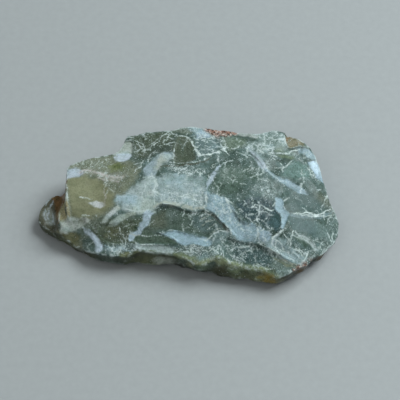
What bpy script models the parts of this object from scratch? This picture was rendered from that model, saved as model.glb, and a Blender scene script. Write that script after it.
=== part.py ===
"""Raw vesuvianite: one hand-sized slab of green stone, broken on every side.

The stone is a single solid that lies on one flat broken face. Its top is a surface
of heights over the plan outline, cut by flake scars: each scar is an outline in plan
with the plane of its floor, and a steep little step all round. Below the rim the wall
falls in chipped facets to a waist, and under the waist it draws in to the resting face.

Plan coordinates are millimetres: X to the right, Y away, Z up from the resting face.
"""
import math
from collections import namedtuple

import bmesh
import bpy
import numpy as np
from mathutils.geometry import delaunay_2d_cdt

MM = 0.001

# Driving dimensions
LENGTH = 90.4          # along X
DEPTH = 48.5           # along Y
HEIGHT = 16.0          # resting face to the highest ridge

# Fineness of the faceting, in millimetres
RIM_STEP = 1.25        # spacing of points on the rim
SCAR_STEP = 1.7        # spacing of points on a scar's outline
FILL_STEP = 1.95       # spacing of the points between them
KEEP_CLEAR = 0.75      # how near a filling point may come to an outline
WALL_POINTS = 150      # points round each level of the wall
WALL_LEVELS = (0.25, 0.5, 0.75)
FOOT_SHARE = 0.86      # the resting face, as a share of the waist
FOOT_SWAY = 0.05       # how far that share wanders round the stone
FOOT_CELL = 14.0       # over what distance it does so
WAIST_SHARE = 0.34     # height of the waist, as a share of the rim's height

# Chipped relief
BROAD_CHIP = 0.006     # steepness of the broad chips on the top
BROAD_CELL = 9.0       # their size
TOP_CHIP = 0.024       # the same for its smaller chips
TOP_CELL = 4.2
WALL_CHIP = 0.05
WALL_CELL = 4.0
RIM_NIBBLE = 0.03      # small bites along the rim
RIM_CELL = 2.6
FLOOR_CHIPS = 0.3      # how much of the small chips shows on a scar's floor
SEED = 41

# Heights of the top before any flake came off it: (x, y, z)
SPOTS = (
    (-37, 10, 12.5), (-36, -5, 12), (-30, 2, 13.2), (-24, 13, 12.3), (-23, -2, 13.5),
    (-18, 23, 11.5), (-8, 24, 12.5), (3, 25, 13), (15, 23, 13), (27, 24, 12),
    (-12, 15, 14.2), (-3, 6, 15.2), (-9, -1, 14.8), (7, 11, 15), (6, -2, 14.6),
    (15, 4, 15), (21, 12, 14), (18, -7, 14), (33, 11, 12), (29, -2, 13),
    (39, 4, 9.5), (37, -5, 10.5), (43, -6, 6.5), (32, -14, 11.5), (38, -15, 7.5),
    (31, -21, 8.5), (-27, -15, 6.5), (-34, -11, 5.5), (-27, -8, 10), (-18, -17, 7.5),
    (-19, -10, 10.5), (-6, -18, 8), (-12, -11, 11.2), (3, -20, 7.8), (0, -12, 11),
    (14, -21, 7.5), (13, -16, 10.5), (25, -22, 7), (23, -19, 9.5), (27, -25, 6),
)

# The rim, counter-clockwise from the left end of the low tongue:
# (x, y, how far the waist stands out from the rim)
RIM = (
    (-45.8, -2.4, 0.1), (-45.5, -4.0, 0.1), (-44.7, -5.2, 0.2), (-43.2, -6.5, 0.2), (-41.5, -7.8, 0.2),
    (-39.8, -9.0, 0.2), (-38.0, -10.2, 0.2), (-36.0, -11.5, 0.2), (-34.0, -12.8, 0.2), (-32.0, -13.9, 0.2),
    (-30.0, -15.1, 0.2), (-28.0, -15.9, 0.3), (-26.0, -16.5, 0.5), (-23.0, -17.1, 0.5), (-20.0, -17.6, 0.5),
    (-18.5, -17.3, 0.9), (-16.5, -16.6, 1.4), (-14.0, -16.5, 1.5), (-11.0, -16.8, 1.3), (-9.0, -17.3, 1.1),
    (-5.0, -17.6, 1.0), (-2.0, -18.5, 0.7), (0.0, -19.5, 0.1), (2.0, -20.5, -0.3), (3.5, -20.9, -0.1),
    (5.0, -20.3, 0.9), (7.0, -19.3, 2.3), (9.0, -19.5, 2.8), (10.5, -20.4, 2.2), (14.0, -21.3, 1.6),
    (17.0, -22.0, 1.5), (20.0, -22.3, 1.9), (23.0, -23.2, 1.3), (25.0, -24.4, 0.3), (26.6, -24.6, -0.3),
    (28.2, -24.2, -0.5), (30.2, -23.0, -0.7), (31.5, -22.5, -0.8), (33.5, -21.4, -0.8), (35.2, -19.8, -0.9),
    (36.2, -18.5, -0.8), (38.6, -17.4, -1.0), (39.8, -16.0, -1.1), (41.0, -14.5, -1.0), (42.3, -13.0, -1.0),
    (43.5, -11.0, -0.9), (44.2, -9.0, -0.9), (44.6, -7.0, -0.8), (44.5, -5.0, -0.8), (44.0, -3.0, -0.7),
    (43.0, -1.0, -0.5), (41.8, 1.0, -0.4), (41.2, 3.0, -0.3), (40.7, 5.0, -0.3), (40.2, 7.0, -0.2),
    (39.7, 9.0, 0.0), (39.2, 11.0, 0.3), (38.5, 13.2, 0.4), (38.0, 15.0, 0.4), (37.4, 17.2, 0.4),
    (36.6, 19.0, 0.3), (35.4, 20.6, 0.2), (33.6, 22.2, 0.3), (31.6, 23.0, 0.4), (30.2, 23.3, 0.4),
    (29.2, 23.0, 0.5), (28.4, 23.2, 0.5), (27.0, 23.9, 0.4), (25.4, 24.3, 0.4), (23.0, 23.7, 0.5),
    (20.0, 22.9, 0.6), (17.6, 22.5, 0.7), (15.0, 23.0, 0.5), (12.0, 23.6, 0.4), (8.0, 24.4, 0.3),
    (5.0, 25.0, 0.1), (3.0, 25.1, 0.0), (0.0, 25.0, 0.1), (-3.0, 24.7, 0.2), (-6.0, 24.1, 0.4),
    (-9.0, 23.8, 0.5), (-13.0, 23.5, 0.4), (-16.0, 22.9, 0.3), (-19.2, 22.7, 0.2), (-20.1, 20.8, 0.4),
    (-20.8, 18.9, 0.6), (-21.6, 17.0, 0.7), (-23.0, 15.8, 0.8), (-26.0, 15.2, 0.6), (-29.0, 14.4, 0.5),
    (-31.5, 13.5, 0.4), (-34.5, 12.5, 0.3), (-36.6, 11.2, 0.2), (-37.3, 9.8, 0.1), (-37.3, 7.2, 0.2),
    (-37.3, 4.6, 0.4), (-38.8, 4.4, 0.4), (-40.4, 5.1, 0.2), (-42.2, 4.4, 0.2), (-43.5, 2.9, 0.1),
    (-44.7, 1.2, 0.1), (-45.5, -0.6, 0.1),
)

# A flake scar: its outline, how far its floor drops below the plane that its border lies on,
# how the floor tilts against that plane (dz/dx, dz/dy), and the width of the step round it.
# Where the drop is None the floor is a plane of its own: tilt is then (x, y, z, dz/dx, dz/dy)
Scar = namedtuple("Scar", "name outline drop tilt step")

MAIN_LEDGE = (
    (-13.0, -6.5), (-11.0, -5.3), (-10.0, -4.2), (-8.5, -3.6), (-5.5, -3.6), (-4.0, -4.1), (-2.5, -4.8),
    (-1.0, -5.3), (1.0, -5.7), (4.0, -5.2), (5.8, -5.2), (6.4, -6.0), (8.2, -7.8), (9.2, -9.0),
    (10.3, -10.2), (12.0, -12.0),
)
SECOND_LEDGE = (
    (10.5, -13.2), (12.0, -13.8), (14.0, -14.5), (16.5, -15.0), (18.5, -15.3), (20.5, -16.0), (22.5, -16.8),
    (24.0, -17.7), (26.0, -18.6), (27.5, -19.6), (29.5, -20.5), (31.5, -21.3),
)

SCARS = (
    # the steps at the left end: a low tongue, a middle step and a flat in front of the block
    Scar("middle_step", ((-50.0, 7.0), (-37.7, 7.0), (-37.2, 5.0), (-37.0, -1.0), (-36.2, -7.0),
                         (-33.6, -7.1),
                         (-32.4, -6.4), (-31.2, -6.0), (-30.4, -8.0), (-31.5, -9.0), (-34.0, -9.6),
                         (-36.5, -9.8), (-38.0, -12.0), (-50.0, -12.0)),
         None, (-36.0, -6.0, 8.8, 0.05, 0.0), 0.6),
    Scar("tongue", ((-52.0, 9.0), (-37.2, 9.0), (-37.3, 3.6), (-38.0, 0.8), (-38.8, -2.0), (-39.2, -4.6),
                    (-39.2, -7.0), (-38.6, -9.0), (-37.2, -10.0), (-36.2, -11.4), (-35.4, -16.5),
                    (-52.0, -14.0)),
         None, (-42.0, -2.0, 4.5, 0.0, 0.04), 2.2),
    # big flakes of the upper plate
    Scar("front_terrace", MAIN_LEDGE + ((9.6, -13.0), (6.2, -13.4), (2.0, -12.8), (-2.5, -11.5),
                                        (-5.8, -11.0),
                                        (-8.5, -11.8), (-11.8, -11.4), (-15.6, -11.6), (-13.2, -9.4),
                                        (-11.4, -7.0)),
         0.55, (0.0, -0.10), 0.35),
    Scar("foot_hollow", SECOND_LEDGE + ((29.0, -23.0), (23.5, -22.6), (20.0, -21.6), (14.0, -20.8),
                                        (10.0, -19.2), (9.4, -16.0)),
         0.50, (0.0, -0.08), 0.4),
    Scar("body", ((-11.4, 4.8), (-8.0, 6.0), (-5.0, 6.0), (-2.0, 5.6), (1.0, 5.2), (3.5, 5.2), (4.6, 2.0),
                  (5.2, -0.4), (5.6, -4.6), (4.0, -5.0), (1.0, -5.4), (-1.0, -5.0), (-4.0, -3.8),
                  (-8.5, -3.3), (-10.4, -4.2), (-12.0, -5.0), (-12.2, 2.0)),
         0.08, (0.0, 0.02), 0.45),
    Scar("left_wing", ((-22.0, -1.5), (-21.5, -3.5), (-20.0, -4.8), (-18.0, -5.5), (-16.0, -6.2),
                       (-13.0, -6.4),
                       (-11.5, -5.6), (-11.2, 2.0), (-11.5, 4.5), (-13.5, 5.0), (-15.0, 3.5), (-17.0, 2.0),
                       (-19.0, 0.5), (-21.0, -0.3)),
         0.06, (0.02, -0.02), 0.45),
    Scar("arm", ((-6.2, 14.5), (-8.3, 14.6), (-9.8, 13.3), (-11.0, 11.5), (-12.6, 10.2), (-14.1, 8.1),
                 (-14.1, 5.6), (-11.0, 5.8), (-9.5, 8.1), (-8.0, 10.0), (-6.2, 11.7), (-4.7, 13.0)),
         0.18, (-0.04, 0.02), 0.3),
    Scar("leg", ((5.2, -0.2), (8.0, -1.0), (10.5, -1.6), (11.5, -3.0), (12.5, -5.0), (13.5, -7.0),
                 (15.0, -9.0),
                 (17.0, -10.0), (19.5, -10.3), (20.3, -12.0), (20.5, -15.6), (18.5, -15.0), (14.0, -14.2),
                 (12.3, -12.0), (9.2, -8.8), (6.5, -5.8), (5.5, -4.6)),
         0.06, (0.02, 0.02), 0.5),
    Scar("foot", ((20.5, -12.0), (23.0, -14.5), (28.0, -17.0), (33.0, -19.5), (34.0, -21.0), (31.5, -21.0),
                  (27.5, -19.3), (24.0, -17.4), (20.7, -15.6)),
         0.06, (-0.02, 0.02), 0.5),
    Scar("strut", ((-13.0, -6.5), (-14.3, -7.5), (-15.0, -9.2), (-16.5, -10.3), (-18.0, -12.0),
                   (-18.4, -13.3),
                   (-17.3, -13.5), (-16.0, -12.5), (-13.5, -10.0), (-12.0, -8.5), (-11.3, -6.8)),
         0.16, (0.05, 0.05), 0.3),
    Scar("lower_band", ((-8.5, -12.0), (-6.0, -13.0), (-4.5, -13.8), (-3.0, -14.8), (-1.5, -15.2),
                        (1.0, -15.0),
                        (3.0, -15.5), (5.5, -16.0), (6.5, -15.2), (6.0, -14.0), (4.5, -13.3), (2.0, -13.0),
                        (-0.5, -12.5), (-2.5, -11.7), (-4.3, -11.2), (-5.8, -11.2), (-7.0, -11.9)),
         0.22, (0.0, -0.06), 0.35),
    Scar("front_band", ((-17.5, -14.3), (-16.5, -15.3), (-14.0, -16.0), (-11.0, -16.4), (-9.0, -17.0),
                        (-7.0, -17.3), (-4.5, -17.0), (-4.5, -16.0), (-7.0, -15.3), (-10.0, -15.0),
                        (-15.0, -14.8)),
         0.15, (0.0, -0.05), 0.3),
    Scar("brown_hollow", ((-27.0, -8.2), (-23.5, -8.6), (-20.0, -8.0), (-18.4, -9.6), (-18.8, -12.6),
                          (-20.5, -14.0), (-24.0, -13.6), (-26.4, -12.0), (-27.6, -10.4)),
         0.30, (0.03, 0.0), 0.35),
    Scar("curved_chip", ((-30.5, -9.5), (-29.0, -9.6), (-27.0, -11.0), (-25.8, -12.8), (-25.4, -15.0),
                         (-27.6, -15.2), (-27.4, -13.4), (-28.4, -11.8)),
         0.20, (0.05, 0.05), 0.3),
    Scar("corner", ((-37.9, 9.4), (-36.2, 9.4), (-33.0, 9.1), (-32.4, 8.0), (-33.0, 6.8), (-34.5, 6.0),
                    (-37.9, 5.9)),
         None, (-35.0, 7.6, 12.45, 0.06, -0.16), 0.3),
    Scar("notch", ((-23.8, 14.0), (-22.8, 13.0), (-21.5, 12.1), (-19.5, 12.0), (-18.0, 13.0), (-17.3, 14.5),
                   (-17.6, 17.0), (-17.3, 20.0), (-18.5, 20.6), (-21.5, 20.6), (-23.5, 16.2)),
         0.30, (-0.03, -0.06), 0.35),
    # dark, smooth windows: conchoidal hollows that lean away from the back
    Scar("thumbprint", ((-4.0, 20.3), (-2.5, 20.7), (-1.0, 20.2), (0.2, 18.8), (1.0, 16.5), (1.5, 14.5),
                        (1.6, 12.5), (1.0, 11.0), (-1.0, 10.0), (-3.0, 9.0), (-4.5, 8.0), (-5.0, 12.0),
                        (-4.8, 16.0)),
         0.32, (0.06, 0.02), 0.35),
    Scar("frosted_back", ((1.2, 21.6), (0.8, 19.4), (1.8, 16.6), (2.6, 14.0), (5.0, 13.0), (8.2, 13.6),
                          (9.4, 17.0), (8.8, 20.4), (5.6, 21.4)),
         0.12, (0.0, -0.04), 0.35),
    Scar("teal_window", ((24.8, -6.3), (26.0, -6.8), (26.8, -8.5), (26.5, -11.0), (25.5, -12.0),
                         (23.5, -12.2),
                         (22.0, -10.5), (22.5, -8.5), (23.6, -6.8)),
         0.24, (0.03, 0.03), 0.3),
    Scar("middle_window", ((6.6, 2.2), (10.0, 3.0), (14.4, 2.2), (15.2, 0.2), (12.4, -1.6), (10.5, -1.4),
                           (8.0, -0.8), (6.0, 0.2)),
         0.15, (0.0, 0.03), 0.3),
    Scar("green_window", ((-16.4, -9.8), (-13.8, -9.6), (-9.0, -11.8), (-5.6, -12.8), (-3.6, -14.6),
                          (-6.8, -15.0), (-10.0, -14.8), (-15.0, -14.6), (-17.4, -13.8)),
         0.25, (0.0, 0.05), 0.3),
    Scar("right_field", ((28.6, -7.2), (33.2, -6.8), (34.4, -9.0), (34.0, -12.0), (31.2, -12.6),
                         (29.4, -11.2)),
         0.15, (-0.03, 0.03), 0.3),
    Scar("shoulder_field", ((26.8, 6.2), (29.4, 11.4), (32.0, 13.6), (35.4, 12.8), (36.2, 9.8), (34.6, 6.6),
                            (30.4, 5.2)),
         0.15, (-0.03, 0.0), 0.3),
    # bright slivers of the right-hand side
    Scar("shoulder_chip", ((35.8, 12.7), (36.0, 11.2), (36.8, 9.8), (38.0, 8.0), (39.5, 7.0), (41.6, 7.0),
                           (40.6, 13.2), (37.8, 13.3)),
         0.25, (-0.10, 0.03), 0.35),
    Scar("right_lens", ((28.5, 4.6), (28.5, 3.8), (30.0, 3.0), (32.0, 2.2), (34.5, 2.3), (33.8, 3.2),
                        (32.5, 4.0),
                        (30.0, 5.0)),
         0.15, (-0.03, -0.03), 0.25),
    Scar("diagonal", ((16.5, 15.8), (16.8, 14.5), (18.3, 13.3), (19.5, 11.5), (20.5, 9.5), (22.0, 7.7),
                      (22.8, 8.0),
                      (22.0, 9.5), (20.5, 12.0), (18.0, 14.5)),
         0.18, (-0.04, -0.04), 0.25),
    Scar("stem", ((25.2, -1.0), (25.2, -3.0), (24.9, -5.0), (25.5, -5.7), (26.5, -6.8), (27.0, -8.0),
                  (26.6, -9.5), (26.6, -11.5), (27.2, -11.8), (28.0, -10.0), (28.7, -8.0), (28.9, -6.5),
                  (27.8, -5.3), (27.4, -4.0), (27.5, -2.5), (27.0, -1.3)),
         0.20, (-0.03, 0.0), 0.25),
    Scar("branch", ((28.9, -6.3), (32.0, -6.5), (35.0, -5.9), (38.5, -5.2), (41.2, -2.6), (43.2, -1.0),
                    (42.0, -2.8), (38.6, -5.9), (37.0, -6.5), (32.0, -7.2), (29.2, -7.0)),
         0.14, (0.0, 0.02), 0.25),
    Scar("toe", ((31.0, -13.0), (31.5, -14.0), (33.5, -13.9), (35.0, -14.6), (36.5, -15.9), (38.0, -16.0),
                 (36.5, -14.5), (35.0, -13.0), (33.0, -12.6)),
         0.15, (-0.05, 0.05), 0.25),
    # the lower lobe at the back right, a level below the plate
    Scar("back_lobe", ((28.6, 25.0), (28.9, 20.0), (29.3, 18.2), (30.2, 17.4), (31.6, 18.0), (33.4, 18.6),
                       (35.6, 18.2), (36.6, 16.6), (38.0, 15.2), (40.0, 15.0), (38.0, 25.0)),
         None, (33.0, 20.0, 10.3, -0.10, -0.14), 0.45),
    # chips along the weathered crust of the back rim
    Scar("crust_chips", ((4.6, 26.0), (5.2, 22.4), (6.6, 21.6), (8.0, 22.4), (9.6, 21.8), (11.2, 22.6),
                         (12.6, 22.0),
                         (13.4, 24.6), (9.0, 26.0)),
         0.25, (0.0, -0.08), 0.35),
)


def resample(outline, step):
    """Points along a closed outline, its own corners kept, no further apart than step."""
    points = []
    for start, end in zip(outline, outline[1:] + outline[:1]):
        start, end = np.array(start, float), np.array(end, float)
        count = max(1, round(float(np.linalg.norm((end - start)[:2])) / step))
        points += [start + (end - start) * k / count for k in range(count)]
    return np.array(points)


def inside_distance(points, outline):
    """Distance from each point to a closed outline, positive inside it."""
    a = np.array(outline, float)[:, :2]
    b = np.roll(a, -1, axis=0)
    run = b - a
    offset = points[:, None, :] - a[None]
    share = np.clip((offset * run).sum(2) / (run * run).sum(1), 0, 1)
    distance = np.linalg.norm(offset - share[..., None] * run, axis=2).min(axis=1)
    above = (a[:, 1] > points[:, 1, None]) != (b[:, 1] > points[:, 1, None])
    rise = np.where(run[:, 1] == 0, 1e-9, run[:, 1])
    crossing = a[:, 0] + run[:, 0] * (points[:, 1, None] - a[:, 1]) / rise
    inside = (above & (points[:, 0, None] < crossing)).sum(axis=1) % 2 == 1
    return np.where(inside, distance, -distance)


class Chips:
    """Flat chips meeting at sharp edges: the difference of two nearest-seed distances."""

    def __init__(self, cell, steepness, low, high, seed):
        rng = np.random.RandomState(seed)
        low, high = np.array(low, float), np.array(high, float)
        count = int(np.prod((high - low) / cell))
        self.seeds = [low + (high - low) * rng.rand(count, len(low)) for _ in range(2)]
        self.steepness = steepness

    def __call__(self, points):
        nearest = [((points[:, None] - seeds[None]) ** 2).sum(2).min(1) for seeds in self.seeds]
        return self.steepness * (nearest[0] - nearest[1])


PLAN_BOX = ((-50, -30), (50, 30))
STONE_BOX = ((-50, -30, -4), (50, 30, 20))
broad_chips = Chips(BROAD_CELL, BROAD_CHIP, *PLAN_BOX, SEED + 5)
top_chips = Chips(TOP_CELL, TOP_CHIP, *PLAN_BOX, SEED)
rim_chips = Chips(RIM_CELL, RIM_NIBBLE, *PLAN_BOX, SEED + 1)
wall_chips = Chips(WALL_CELL, WALL_CHIP, *STONE_BOX, SEED + 2)
foot_chips = Chips(FOOT_CELL, FOOT_SWAY / FOOT_CELL ** 2, *PLAN_BOX, SEED + 6)


def bend(distance):
    """Kernel of a thin plate: r^2 log r."""
    return np.where(distance > 0, distance ** 2 * np.log(np.maximum(distance, 1e-9)), 0)


def plate_weights(spots, stiffness=2.0):
    """Weights of the thin plate that passes by the spot heights."""
    spots = np.array(spots, float)
    plan = spots[:, :2]
    count = len(spots)
    kernel = bend(np.linalg.norm(plan[:, None] - plan[None], axis=2)) + stiffness * np.eye(count)
    flat = np.c_[np.ones(count), plan]
    matrix = np.block([[kernel, flat], [flat.T, np.zeros((3, 3))]])
    return plan, np.linalg.solve(matrix, np.r_[spots[:, 2], 0, 0, 0])


PLATE = plate_weights(SPOTS)


def unbroken_top(points):
    plan, weights = PLATE
    distance = np.linalg.norm(points[:, None] - plan[None], axis=2)
    count = len(plan)
    return bend(distance) @ weights[:count] + np.c_[np.ones(len(points)), points] @ weights[count:]


def plane_height(plane, points):
    """Height of a plane (middle, (height there, dz/dx, dz/dy)) at plan points."""
    middle, (height, slope_x, slope_y) = plane
    return height + (points - middle) @ (slope_x, slope_y)


def broken_top(points, floors):
    """Height of the top at plan points, after the scars whose floors are given."""
    heights = unbroken_top(points) + broad_chips(points) + top_chips(points)
    for scar, floor in zip(SCARS, floors):
        share = np.clip(inside_distance(points, scar.outline) / scar.step, 0, 1)
        cut = np.minimum(heights, plane_height(floor, points) + FLOOR_CHIPS * top_chips(points))
        heights = heights + share * (cut - heights)
    return heights


def scar_floors():
    """Each scar's floor plane in turn, set against the top as the earlier scars left it."""
    floors = []
    for scar in SCARS:
        if scar.drop is None:
            floors.append((np.array(scar.tilt[:2]), np.array(scar.tilt[2:])))
            continue
        border = resample(scar.outline, SCAR_STEP)
        middle = border.mean(axis=0)
        table = np.c_[np.ones(len(border)), border - middle]
        plane = np.linalg.lstsq(table, broken_top(border, floors), rcond=None)[0]
        floors.append((middle, plane + (-scar.drop, *scar.tilt)))
    return floors


def outward(loop):
    """Unit vectors in plan that point out of a counter-clockwise loop."""
    run = np.roll(loop, -2, axis=0) - np.roll(loop, 2, axis=0)
    normal = np.c_[run[:, 1], -run[:, 0]]
    return normal / np.linalg.norm(normal, axis=1)[:, None]


def rim_loop():
    """The rim in plan with small bites out of it, and how far the waist stands out."""
    stations = resample(RIM, RIM_STEP)
    plan = stations[:, :2]
    return plan + outward(plan) * rim_chips(plan)[:, None], stations[:, 2]


def loop_edges(first, count):
    return [(first + k, first + (k + 1) % count) for k in range(count)]


def top_surface(rim):
    """Triangles of the top: the rim and the scars' outlines are kept as edges."""
    lines = [rim]
    for scar in SCARS:
        outline = resample(scar.outline, SCAR_STEP)
        turn = 1 if polygon_area(outline) > 0 else -1
        lines += [outline, outline - turn * outward(outline) * scar.step]
    kept = [lines[0]]
    edges = loop_edges(0, len(rim))
    count = len(rim)
    for line in lines[1:]:
        within = inside_distance(line, rim) > -3.0
        kept.append(line)
        edges += [edge for edge in loop_edges(count, len(line))
                  if within[edge[0] - count] and within[edge[1] - count]]
        count += len(line)
    fixed = np.vstack(kept)
    fill = scattered(rim, fixed, FILL_STEP, SEED + 3)
    return triangulate(np.vstack([fixed, fill]), edges, list(range(len(rim))))


def scattered(outline, fixed, step, seed):
    """Points on a jittered triangular grid inside an outline, clear of the fixed points."""
    rng = np.random.RandomState(seed)
    low, high = outline.min(axis=0), outline.max(axis=0)
    rows = int((high[1] - low[1]) / (step * 0.866)) + 1
    columns = int((high[0] - low[0]) / step) + 1
    grid = np.array([(low[0] + (c + 0.5 * (r % 2)) * step, low[1] + r * step * 0.866)
                     for r in range(rows) for c in range(columns)])
    grid += rng.uniform(-0.3, 0.3, grid.shape) * step
    grid = grid[inside_distance(grid, outline) > KEEP_CLEAR]
    gap = np.sqrt(((grid[:, None] - fixed[None]) ** 2).sum(2)).min(axis=1)
    return grid[gap > KEEP_CLEAR]


def polygon_area(loop):
    x, y = loop[:, 0], loop[:, 1]
    return 0.5 * float(np.sum(x * np.roll(y, -1) - np.roll(x, -1) * y))


def triangulate(points, edges, border):
    """Constrained triangulation inside the border; returns points, triangles, border loop."""
    vertices, _, faces, _, _, _ = delaunay_2d_cdt(
        [tuple(point) for point in points], edges, [border], 1, 1e-4)
    plan = np.array([tuple(vertex) for vertex in vertices])
    corners = [list(face) for face in faces]
    outer = points[border]
    middle = np.array([plan[face].mean(axis=0) for face in corners])
    keep = inside_distance(middle, outer) > 0
    corners = np.array([face for face, good in zip(corners, keep) if good])
    used, corners = np.unique(corners, return_inverse=True)
    return plan[used], corners.reshape(-1, 3).tolist()


def border_of(triangles):
    """The vertices round the open border of a sheet of triangles, in order."""
    follows = {}
    for face in triangles:
        for a, b in zip(face, face[1:] + face[:1]):
            follows[(a, b)] = True
    after = {a: b for (a, b) in follows if (b, a) not in follows}
    start = min(after)
    loop = [start]
    while after[loop[-1]] != start:
        loop.append(after[loop[-1]])
    return loop


def place_along(points, loop):
    """Where each point lies along a closed loop, from 0 to 1."""
    run = np.roll(loop, -1, axis=0) - loop
    length = np.linalg.norm(run, axis=1)
    travelled = np.r_[0, np.cumsum(length)]
    offset = points[:, None] - loop[None]
    share = np.clip((offset * run).sum(2) / (length ** 2), 0, 1)
    gap = np.linalg.norm(offset - share[..., None] * run, axis=2)
    nearest = gap.argmin(axis=1)
    rows = np.arange(len(points))
    return (travelled[nearest] + share[rows, nearest] * length[nearest]) / travelled[-1]


def at_place(places, loop, values):
    """Values of a closed loop's points, read at places from 0 to 1."""
    length = np.linalg.norm(np.roll(loop, -1, axis=0) - loop, axis=1)
    travelled = np.r_[0, np.cumsum(length)] / length.sum()
    closed = np.vstack([values, values[:1]])
    return np.array([np.interp(places, travelled, closed[:, k]) for k in range(closed.shape[1])]).T


class Solid:
    """The stone's mesh as it grows from the top sheet downwards."""

    def __init__(self):
        self.points = []
        self.faces = []

    def add(self, points):
        first = len(self.points)
        self.points += [tuple(point) for point in points]
        return list(range(first, len(self.points)))

    def zip_loops(self, upper, upper_places, lower, lower_places):
        """Triangles between two loops whose points are ordered by place."""
        i = j = 0
        many, few = len(upper), len(lower)
        while i < many or j < few:
            next_upper = upper_places[i + 1] if i + 1 < many else (1.0 if i < many else 9.0)
            next_lower = lower_places[j + 1] if j + 1 < few else (1.0 if j < few else 9.0)
            a, b = upper[i % many], lower[j % few]
            if i < many and (next_upper <= next_lower or j >= few):
                self.faces.append((a, b, upper[(i + 1) % many]))
                i += 1
            else:
                self.faces.append((a, b, lower[(j + 1) % few]))
                j += 1

    def build(self, name, material):
        points = np.array(self.points)
        low, high = points.min(axis=0), points.max(axis=0)
        middle = (low + high) / 2
        fit = np.array([LENGTH, DEPTH, HEIGHT]) / (high - low)
        placed = (points - (middle[0], middle[1], low[2])) * fit * MM
        mesh = bpy.data.meshes.new(name)
        mesh.from_pydata([tuple(point) for point in placed], [], self.faces)
        bm = bmesh.new()
        bm.from_mesh(mesh)
        bmesh.ops.dissolve_degenerate(bm, dist=0.12 * MM, edges=bm.edges)
        bmesh.ops.triangulate(bm, faces=bm.faces)
        bmesh.ops.recalc_face_normals(bm, faces=bm.faces)
        bm.to_mesh(mesh)
        bm.free()
        mesh.materials.append(material)
        thing = bpy.data.objects.new(name, mesh)
        bpy.context.scene.collection.objects.link(thing)
        return thing


def green_stone():
    """Waxy gray-green stone."""
    material = bpy.data.materials.new("green_stone")
    material.use_nodes = True
    shader = material.node_tree.nodes["Principled BSDF"]
    shader.inputs["Base Color"].default_value = (0.17, 0.22, 0.17, 1)
    shader.inputs["Roughness"].default_value = 0.45
    shader.inputs["Metallic"].default_value = 0.0
    material.diffuse_color = (0.17, 0.22, 0.17, 1)
    return material


def vesuvianite_chunk():
    floors = scar_floors()
    rim, flare = rim_loop()
    plan, triangles = top_surface(rim)
    solid = Solid()
    top = solid.add(np.c_[plan, broken_top(plan, floors)])
    solid.faces += [tuple(top[k] for k in face) for face in triangles]

    # the sheet's own border, put in order along the rim
    loop = border_of(triangles)
    places = place_along(plan[loop], rim)
    turn = int(np.argmin(places))
    loop = loop[turn:] + loop[:turn]
    places = np.r_[places[turn:], places[:turn]]
    upper, upper_places = [top[k] for k in loop], places

    even = np.arange(WALL_POINTS) / WALL_POINTS
    edge = at_place(even, rim, rim)
    edge_height = broken_top(edge, floors)
    direction = outward(edge)
    stand = at_place(even, rim, flare[:, None])[:, 0]
    waist_height = WAIST_SHARE * np.minimum(edge_height, 9.0)

    for level in WALL_LEVELS + (1.0,):
        heights = edge_height + (waist_height - edge_height) * level
        ring = edge + direction * (stand * level)[:, None]
        chips = wall_chips(np.c_[ring, heights])
        ring = ring + direction * chips[:, None] * math.sin(math.pi * min(level, 0.75))
        lower = solid.add(np.c_[ring, heights])
        solid.zip_loops(upper, upper_places, lower, even)
        upper, upper_places = lower, even

    # from the waist in to the resting face
    waist = ring
    sway = foot_chips(waist)
    for draw, lift in ((0.5, 0.42), (1.0, 0.0)):
        share = 1 - draw * (1 - FOOT_SHARE - sway)
        ring = waist * share[:, None]
        ring = ring + direction * wall_chips(np.c_[ring, waist_height * lift])[:, None]
        lower = solid.add(np.c_[ring, waist_height * lift])
        solid.zip_loops(upper, even, lower, even)
        upper = lower
    fill = scattered(ring, ring, 7.0, SEED + 4)
    flat, corners = triangulate(np.vstack([ring, fill]), loop_edges(0, len(ring)), list(range(len(ring))))
    under = upper + solid.add(np.c_[fill, np.zeros(len(fill))])
    assert len(flat) == len(under)
    solid.faces += [tuple(under[k] for k in reversed(face)) for face in corners]
    return solid.build("vesuvianite_chunk", green_stone())


def clear_scene():
    for thing in list(bpy.data.objects):
        bpy.data.objects.remove(thing, do_unlink=True)


clear_scene()
vesuvianite_chunk()
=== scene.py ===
"""Looks of a raw vesuvianite stone: fine broken surface, frosted flakes partly painted as sky reflection,
crackle and weathered edges, with painted light and shade along the rim.

Outlines and strokes are drawn in plan millimetres: X to the right, Y away from the front edge.
"""

import math
from collections import namedtuple

import bpy
import numpy as np
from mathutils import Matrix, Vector, kdtree, noise


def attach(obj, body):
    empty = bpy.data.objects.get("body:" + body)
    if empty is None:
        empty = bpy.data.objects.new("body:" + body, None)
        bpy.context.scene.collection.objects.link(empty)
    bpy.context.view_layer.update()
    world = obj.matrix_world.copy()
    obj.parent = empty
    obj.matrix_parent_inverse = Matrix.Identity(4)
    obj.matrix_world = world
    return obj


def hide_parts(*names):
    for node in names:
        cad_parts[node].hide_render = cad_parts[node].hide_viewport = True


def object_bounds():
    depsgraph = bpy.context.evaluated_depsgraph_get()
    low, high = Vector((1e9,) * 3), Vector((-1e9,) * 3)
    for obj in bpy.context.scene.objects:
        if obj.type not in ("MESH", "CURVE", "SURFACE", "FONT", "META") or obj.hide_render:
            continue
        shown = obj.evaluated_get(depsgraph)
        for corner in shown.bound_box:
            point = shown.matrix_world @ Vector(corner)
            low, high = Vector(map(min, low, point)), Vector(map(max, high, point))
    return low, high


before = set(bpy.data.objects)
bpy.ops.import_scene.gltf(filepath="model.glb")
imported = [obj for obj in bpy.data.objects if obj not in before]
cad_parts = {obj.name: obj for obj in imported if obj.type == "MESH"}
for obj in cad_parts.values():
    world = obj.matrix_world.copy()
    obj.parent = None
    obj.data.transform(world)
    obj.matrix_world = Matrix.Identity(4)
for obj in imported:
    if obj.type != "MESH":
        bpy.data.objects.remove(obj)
CAD_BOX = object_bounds()

MM = 0.001
NODE = "vesuvianite_chunk"
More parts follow.
